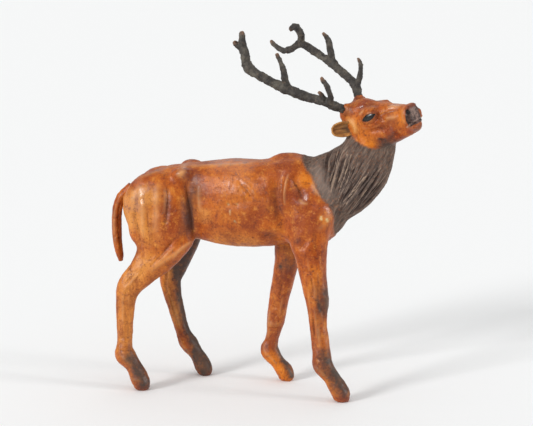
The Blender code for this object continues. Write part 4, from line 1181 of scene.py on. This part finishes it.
# %% Make the antlers
antler_paint, tree, shader, place = new_material("charcoal_antler_paint", 0.68, 1.48)
cloud, fleck = noise(tree, place, 8, 4.0), noise(tree, place, 2.2, 3.0)
colour = layered(tree, ramp_of(tree, cloud, (0.34, "211D1C"), (0.52, "39342F"), (0.70, "5A544A")),
                 ("6E5A48", between(tree, fleck, 0.57, 0.72, 0.55)),
                 ("191615", between(tree, fleck, 0.42, 0.28, 0.6)),
                 ("8A644A", stain_mask(tree, "worn", fleck, 0.8, 1.6)))
tree.links.new(colour, shader.inputs["Base Color"])
relief = add_node(tree, "ShaderNodeBump", {"Height": fleck}, {"Strength": 1.0, "Distance": 0.5 * MM})
tree.links.new(relief.outputs["Normal"], shader.inputs["Normal"])

ANTLER_TIPS = {
    "right": [(-68.4, -40, 97), (-78.6, -46, 89), (3.2, -32, 34), (-6, -31, 21), (-35, -40, 68)],
    "left": [(-118, 47, 67), (-80, 39, 74), (0.4, 32, 34), (-39, 39, 65)],
}
WORN_REACH = 3.4
antlers = {}
for side_name, tips in ANTLER_TIPS.items():
    antler = clay_from("antler_" + side_name, "painted_antler_" + side_name, 0.62, 4)
    points = np.array([vertex.co for vertex in antler.data.vertices])
    worn_here = np.zeros(len(points))
    for tip in tips:
        gap = np.linalg.norm(points - np.array(HEAD @ Vector(tip)), axis=1) / MM
        worn_here = np.maximum(worn_here, np.exp(-(gap / WORN_REACH) ** 2))
    attribute = antler.data.attributes.new("worn", "FLOAT", "POINT")
    attribute.data.foreach_set("value", worn_here.astype(np.float32))
    antlers[side_name] = run_tree(antler, relief_tree, lump_height=1.2, lump_size=6.0, knot_height=0.8,
                                  knot_size=2.0, seed=5.0, material=antler_paint)
print("antlers:", {name: len(antler.data.polygons) for name, antler in antlers.items()}, "faces")

# %% [markdown]
# ## Ears
# Each ear is one leaf of leather, folded lengthways, pinched at its root and set into a slit.
# A grid of points that follows the leaf's outline gives the cup and the curled rim, and a
# Solidify modifier gives the leather its thickness. The inside near the root is dark.

# %% Make the ears
ear_leather, tree, shader, place = new_material("ochre_ear_leather", 0.5, 1.5)
ochre = ramp_of(tree, noise(tree, place, 5, 4.0), (0.34, "86542A"), (0.52, "AE773A"), (0.70, "D09C5A"))
colour = layered(tree, ochre, ("2B1A10", stain_mask(tree, "shade", noise(tree, place, 2.5), 0.85)))
tree.links.new(colour, shader.inputs["Base Color"])

EAR_ROOT, EAR_REACH, EAR_FACE = (5.5, 15.0, -24.5), (-0.52, 0.80, 0.22), (0.72, 0.62, -0.05)
EAR_LENGTH, EAR_SEAT, EAR_WIDTH, EAR_LEATHER = 20.0, 4.5, 15.0, 1.7
EAR_OUTLINE = smooth_route([(0, 0.55), (0.32, 0.94), (0.62, 1.0), (0.88, 0.76), (1.0, 0.3)], 7)
EAR_COLUMNS = 25
EAR_CUP, EAR_CURL = 0.46, 1.6
EAR_LINES, EAR_LINE_DEPTH = 11.0, 0.3
EAR_RIM, EAR_RIM_LIFT = 0.72, 0.7


def make_ear(name, side):
    """A cupped leaf with a curled rim and a few pressed lines inside."""
    flip = Vector((1, side, 1))
    reach = (Vector(EAR_REACH) * flip).normalized()
    face = Vector(EAR_FACE) * flip
    face = (face - reach * face.dot(reach)).normalized()
    across = reach.cross(face)
    start = Vector(EAR_ROOT) * flip - reach * EAR_SEAT
    bm = bmesh.new()
    shade = bm.verts.layers.float.new("shade")
    rows = []
    for along, swell in EAR_OUTLINE:
        half = swell * EAR_WIDTH / 2
        row = []
        for column in range(EAR_COLUMNS):
            share = 2 * column / (EAR_COLUMNS - 1) - 1
            lines = math.cos(share * EAR_LINES) * (1 - share ** 4) * min(1.0, 3 * along)
            rim = max(0.0, abs(share) - EAR_RIM) / (1 - EAR_RIM)
            cup = ((1 - share ** 2) * EAR_CUP * half + EAR_CURL * along ** 2
                   + EAR_LINE_DEPTH * lines - EAR_RIM_LIFT * rim)
            vertex = bm.verts.new(HEAD @ (start + reach * (EAR_LENGTH + EAR_SEAT) * along
                                          + across * half * share - face * cup))
            deep = max(0.0, 1 - abs(along - 0.30) / 0.36) * max(0.0, 1 - abs(share) / 0.78)
            vertex[shade] = min(1.0, 1.6 * deep + 0.5 * max(0.0, lines) * (along < 0.8))
            row.append(vertex)
        rows.append(row)
    for first, second in zip(rows, rows[1:]):
        for column in range(EAR_COLUMNS - 1):
            bm.faces.new((first[column], first[column + 1], second[column + 1], second[column]))
    bm.normal_update()
    bmesh.ops.recalc_face_normals(bm, faces=bm.faces)
    ear = object_from(bm, name)
    wall = ear.modifiers.new("leather", "SOLIDIFY")
    wall.thickness = EAR_LEATHER * MM
    wall.offset = 0.0
    rounded = ear.modifiers.new("soft edge", "SUBSURF")
    rounded.levels = rounded.render_levels = 1
    settle(ear)
    return run_tree(ear, relief_tree, lump_height=0.25, lump_size=5.0, knot_height=0.08,
                    knot_size=2.0, seed=8.0, material=ear_leather)


ears = {"right": make_ear("leather_ear_right", -1), "left": make_ear("leather_ear_left", 1)}
print("ears:", {name: len(ear.data.polygons) for name, ear in ears.items()}, "faces")

# %% [markdown]
# ## Eyes
# The eyes are black glass beads behind the lids, dulled a little by age. What makes glass look
# like glass is its highlight, so they need hardly any pattern, only a low roughness that
# varies. Each is one smooth lens, a little longer than the opening, so the lids close on it
# all round.

# %% Make the eyes
glass, tree, shader, place = new_material("black_bead_glass", 0.08, 1.52)
tree.links.new(ramp_of(tree, noise(tree, place, 3, 2.0), (0.4, "060607"), (0.75, "1D1918")),
               shader.inputs["Base Color"])
worn = between(tree, noise(tree, place, 2.2, 2.0), 0.4, 0.6, 0.2)
tree.links.new(math_node(tree, "ADD", worn, 0.22), shader.inputs["Roughness"])
eyes = {}
for side, side_name in ((-1, "right"), (1, "left")):
    centre, line, up, out = eye_axes(side)
    axes = Matrix((line, up, out)).transposed().to_4x4()
    bm = bmesh.new()
    bmesh.ops.create_icosphere(bm, subdivisions=4, radius=1, matrix=Matrix.Identity(4))
    bmesh.ops.transform(bm, verts=bm.verts, matrix=Matrix.Translation(centre) @ axes
                        @ Matrix.Diagonal((BEAD[0] * MM, BEAD[1] * MM, BEAD[2] * MM, 1)))
    bm.normal_update()
    bmesh.ops.recalc_face_normals(bm, faces=bm.faces)
    eye = object_from(bm, "glass_eye_" + side_name)
    eye.data.materials.append(glass)
    eye.data.shade_smooth()
    eyes[side_name] = eye
print("eyes:", {name: len(eye.data.polygons) for name, eye in eyes.items()}, "faces")

# %% [markdown]
# ## Tail
# The tail is a strip of the same leather, rolled up. It is clay from its solid, with the
# roll's long edge pressed into it, and it takes the body's leather.

# %% Make the tail
TAIL_FOLDS = [
    (1.2, 0.9, [(-147, 194), (-151.6, 180), (-152.6, 162), (-151.6, 145), (-150.4, 132)]),
    (1.4, -0.5, [(-151, 192), (-156, 178), (-157, 160), (-156, 142)]),
    (0.9, 0.5, [(-160, 172), (-155, 170), (-151, 173)]),
    (0.9, 0.5, [(-160, 150), (-155, 152), (-151, 149)]),
]
TAIL_STAINS = {"red": [(3.0, 0.7, [(-150, 190), (-152, 165), (-150, 140)])],
               "tan": [(3.0, 0.25, [(-158, 180), (-159, 160), (-157, 140)])]}
tail = clay_from("tail", "leather_tail", 0.8, 3)
tail_hide = Hide(tail.data)
tail_hide.fold(TAIL_FOLDS)
tail_hide.brush(TAIL_STAINS)
tail_hide.apply()
tail = run_tree(tail, relief_tree, lump_height=0.5, lump_size=7.0, knot_height=0.2,
                knot_size=2.6, seed=4.0, material=leather)
print("tail:", len(tail.data.polygons), "faces")

# %% [markdown]
# ## Handing the pieces to the frame
# Each finished piece stands for its solid and moves with it. The figure has no joints, so
# there is one body.

# %% Ride and replace
for piece, node, slot in [
        (body, "body", "tan_leather"), (tail, "tail", "tan_leather"),
        (antlers["right"], "antler_right", "painted_antler"),
        (antlers["left"], "antler_left", "painted_antler"),
        (ears["right"], "ear_right", "ochre_leather"), (ears["left"], "ear_left", "ochre_leather"),
        (eyes["right"], "eye_right", "black_glass"), (eyes["left"], "eye_left", "black_glass")]:
    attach(piece, "root")
    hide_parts(node)
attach(mane, "root")

# %% [markdown]
# ## Floor, light and camera
# A pale floor that reaches past the picture has no edge to show. It dims towards the camera,
# where a studio's paper ends, so that the near side mirrors little white. The highlights say
# where the lights stood: their mirror directions point to one broad light at the left and one
# at the right, both rather low, so two suns with wide discs stand there. The tent is bright
# overhead and behind, and dim towards the camera, which keeps the colours of the near side
# deep. The camera is far away with a long lens, so the legs stay parallel.

# %% Set the stage
FLOOR_REACH = 14.0
PAPER_DIMS_FROM, PAPER_DIMS_TO = 0.35, 1.0
floor_bm = bmesh.new()
bmesh.ops.create_circle(floor_bm, cap_ends=True, segments=64, radius=FLOOR_REACH)
floor = object_from(floor_bm, "floor")
paper, tree, shader, place = new_material("pale_paper_floor", 0.95, 1.3)
towards = add_node(tree, "ShaderNodeVectorMath", {0: place}, {1: tuple(TO_CAMERA)},
                   operation="DOT_PRODUCT").outputs["Value"]
past_edge = between(tree, towards, PAPER_DIMS_FROM, PAPER_DIMS_TO, 1.0)
tree.links.new(ramp_of(tree, past_edge, (0.0, "F4F5F5"), (1.0, "8C8C8C")), shader.inputs["Base Color"])
floor.data.materials.append(paper)
floor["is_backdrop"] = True


def add_sun(name, spot, strength, spread):
    """A far, broad light that comes from one side."""
    data = bpy.data.lights.new(name, "SUN")
    data.energy = strength
    data.angle = math.radians(spread)
    lamp = bpy.data.objects.new(name, data)
    bpy.context.collection.objects.link(lamp)
    lamp.rotation_euler = (-Vector(spot)).to_track_quat("-Z", "Y").to_euler()


add_sun("left_softbox", (-0.585, -0.749, 0.309), 2.5, 16)
add_sun("right_softbox", (0.972, -0.102, 0.208), 1.4, 16)
OVERHEAD_LIGHT, BACK_LIGHT, EVEN_LIGHT = 0.55, 0.3, 0.16
world = bpy.data.worlds.new("light_tent")
bpy.context.scene.world = world
world.use_nodes = True
sky = world.node_tree
way = add_node(sky, "ShaderNodeTexCoord").outputs["Generated"]
high = add_node(sky, "ShaderNodeSeparateXYZ", {0: way}).outputs["Z"]
overhead = add_node(sky, "ShaderNodeMapRange", {"Value": high},
                    {"From Min": 0.05, "From Max": 0.6, "To Min": 0.0, "To Max": OVERHEAD_LIGHT},
                    interpolation_type="SMOOTHSTEP").outputs[0]
beyond = add_node(sky, "ShaderNodeVectorMath", {0: way}, {1: tuple(-TO_CAMERA)},
                  operation="DOT_PRODUCT").outputs["Value"]
glow = math_node(sky, "MULTIPLY", math_node(sky, "MAXIMUM", beyond, 0.0), BACK_LIGHT)
brightness = math_node(sky, "ADD", math_node(sky, "ADD", overhead, glow), EVEN_LIGHT)
sky.links.new(brightness, sky.nodes["Background"].inputs["Strength"])
sky.nodes["Background"].inputs["Color"].default_value = (1, 1, 1, 1)
bpy.context.scene.view_settings.view_transform = "Standard"

CAMERA_DISTANCE, AIM_HEIGHT = 2.0, 181.1
IMAGE_WIDTH, FOCAL_PIXELS, SENSOR = 533, 2000, 36.0
target = BODY @ Vector((0, 0, AIM_HEIGHT))
camera_data = bpy.data.cameras.new("camera")
camera_data.sensor_width = SENSOR
camera_data.lens = SENSOR * FOCAL_PIXELS / IMAGE_WIDTH
camera_data.clip_end = 100.0
camera = bpy.data.objects.new("camera", camera_data)
bpy.context.collection.objects.link(camera)
camera.location = target + TO_CAMERA * CAMERA_DISTANCE
camera.rotation_euler = (-TO_CAMERA).to_track_quat("-Z", "Y").to_euler()
bpy.context.scene.camera = camera
print("lens mm:", round(camera_data.lens, 1))

# %% [markdown]
# ## Sizes of solid and visual model
# Both boxes are measured, and how far the visual one reaches past the solids' box is printed.

# %% Compare the boxes
VISUAL_BOX = [list(corner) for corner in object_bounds()]
print("grown by mm:", [[round((v - c) / MM, 2) for v, c in zip(*pair)]
                       for pair in zip(VISUAL_BOX, CAD_BOX)])
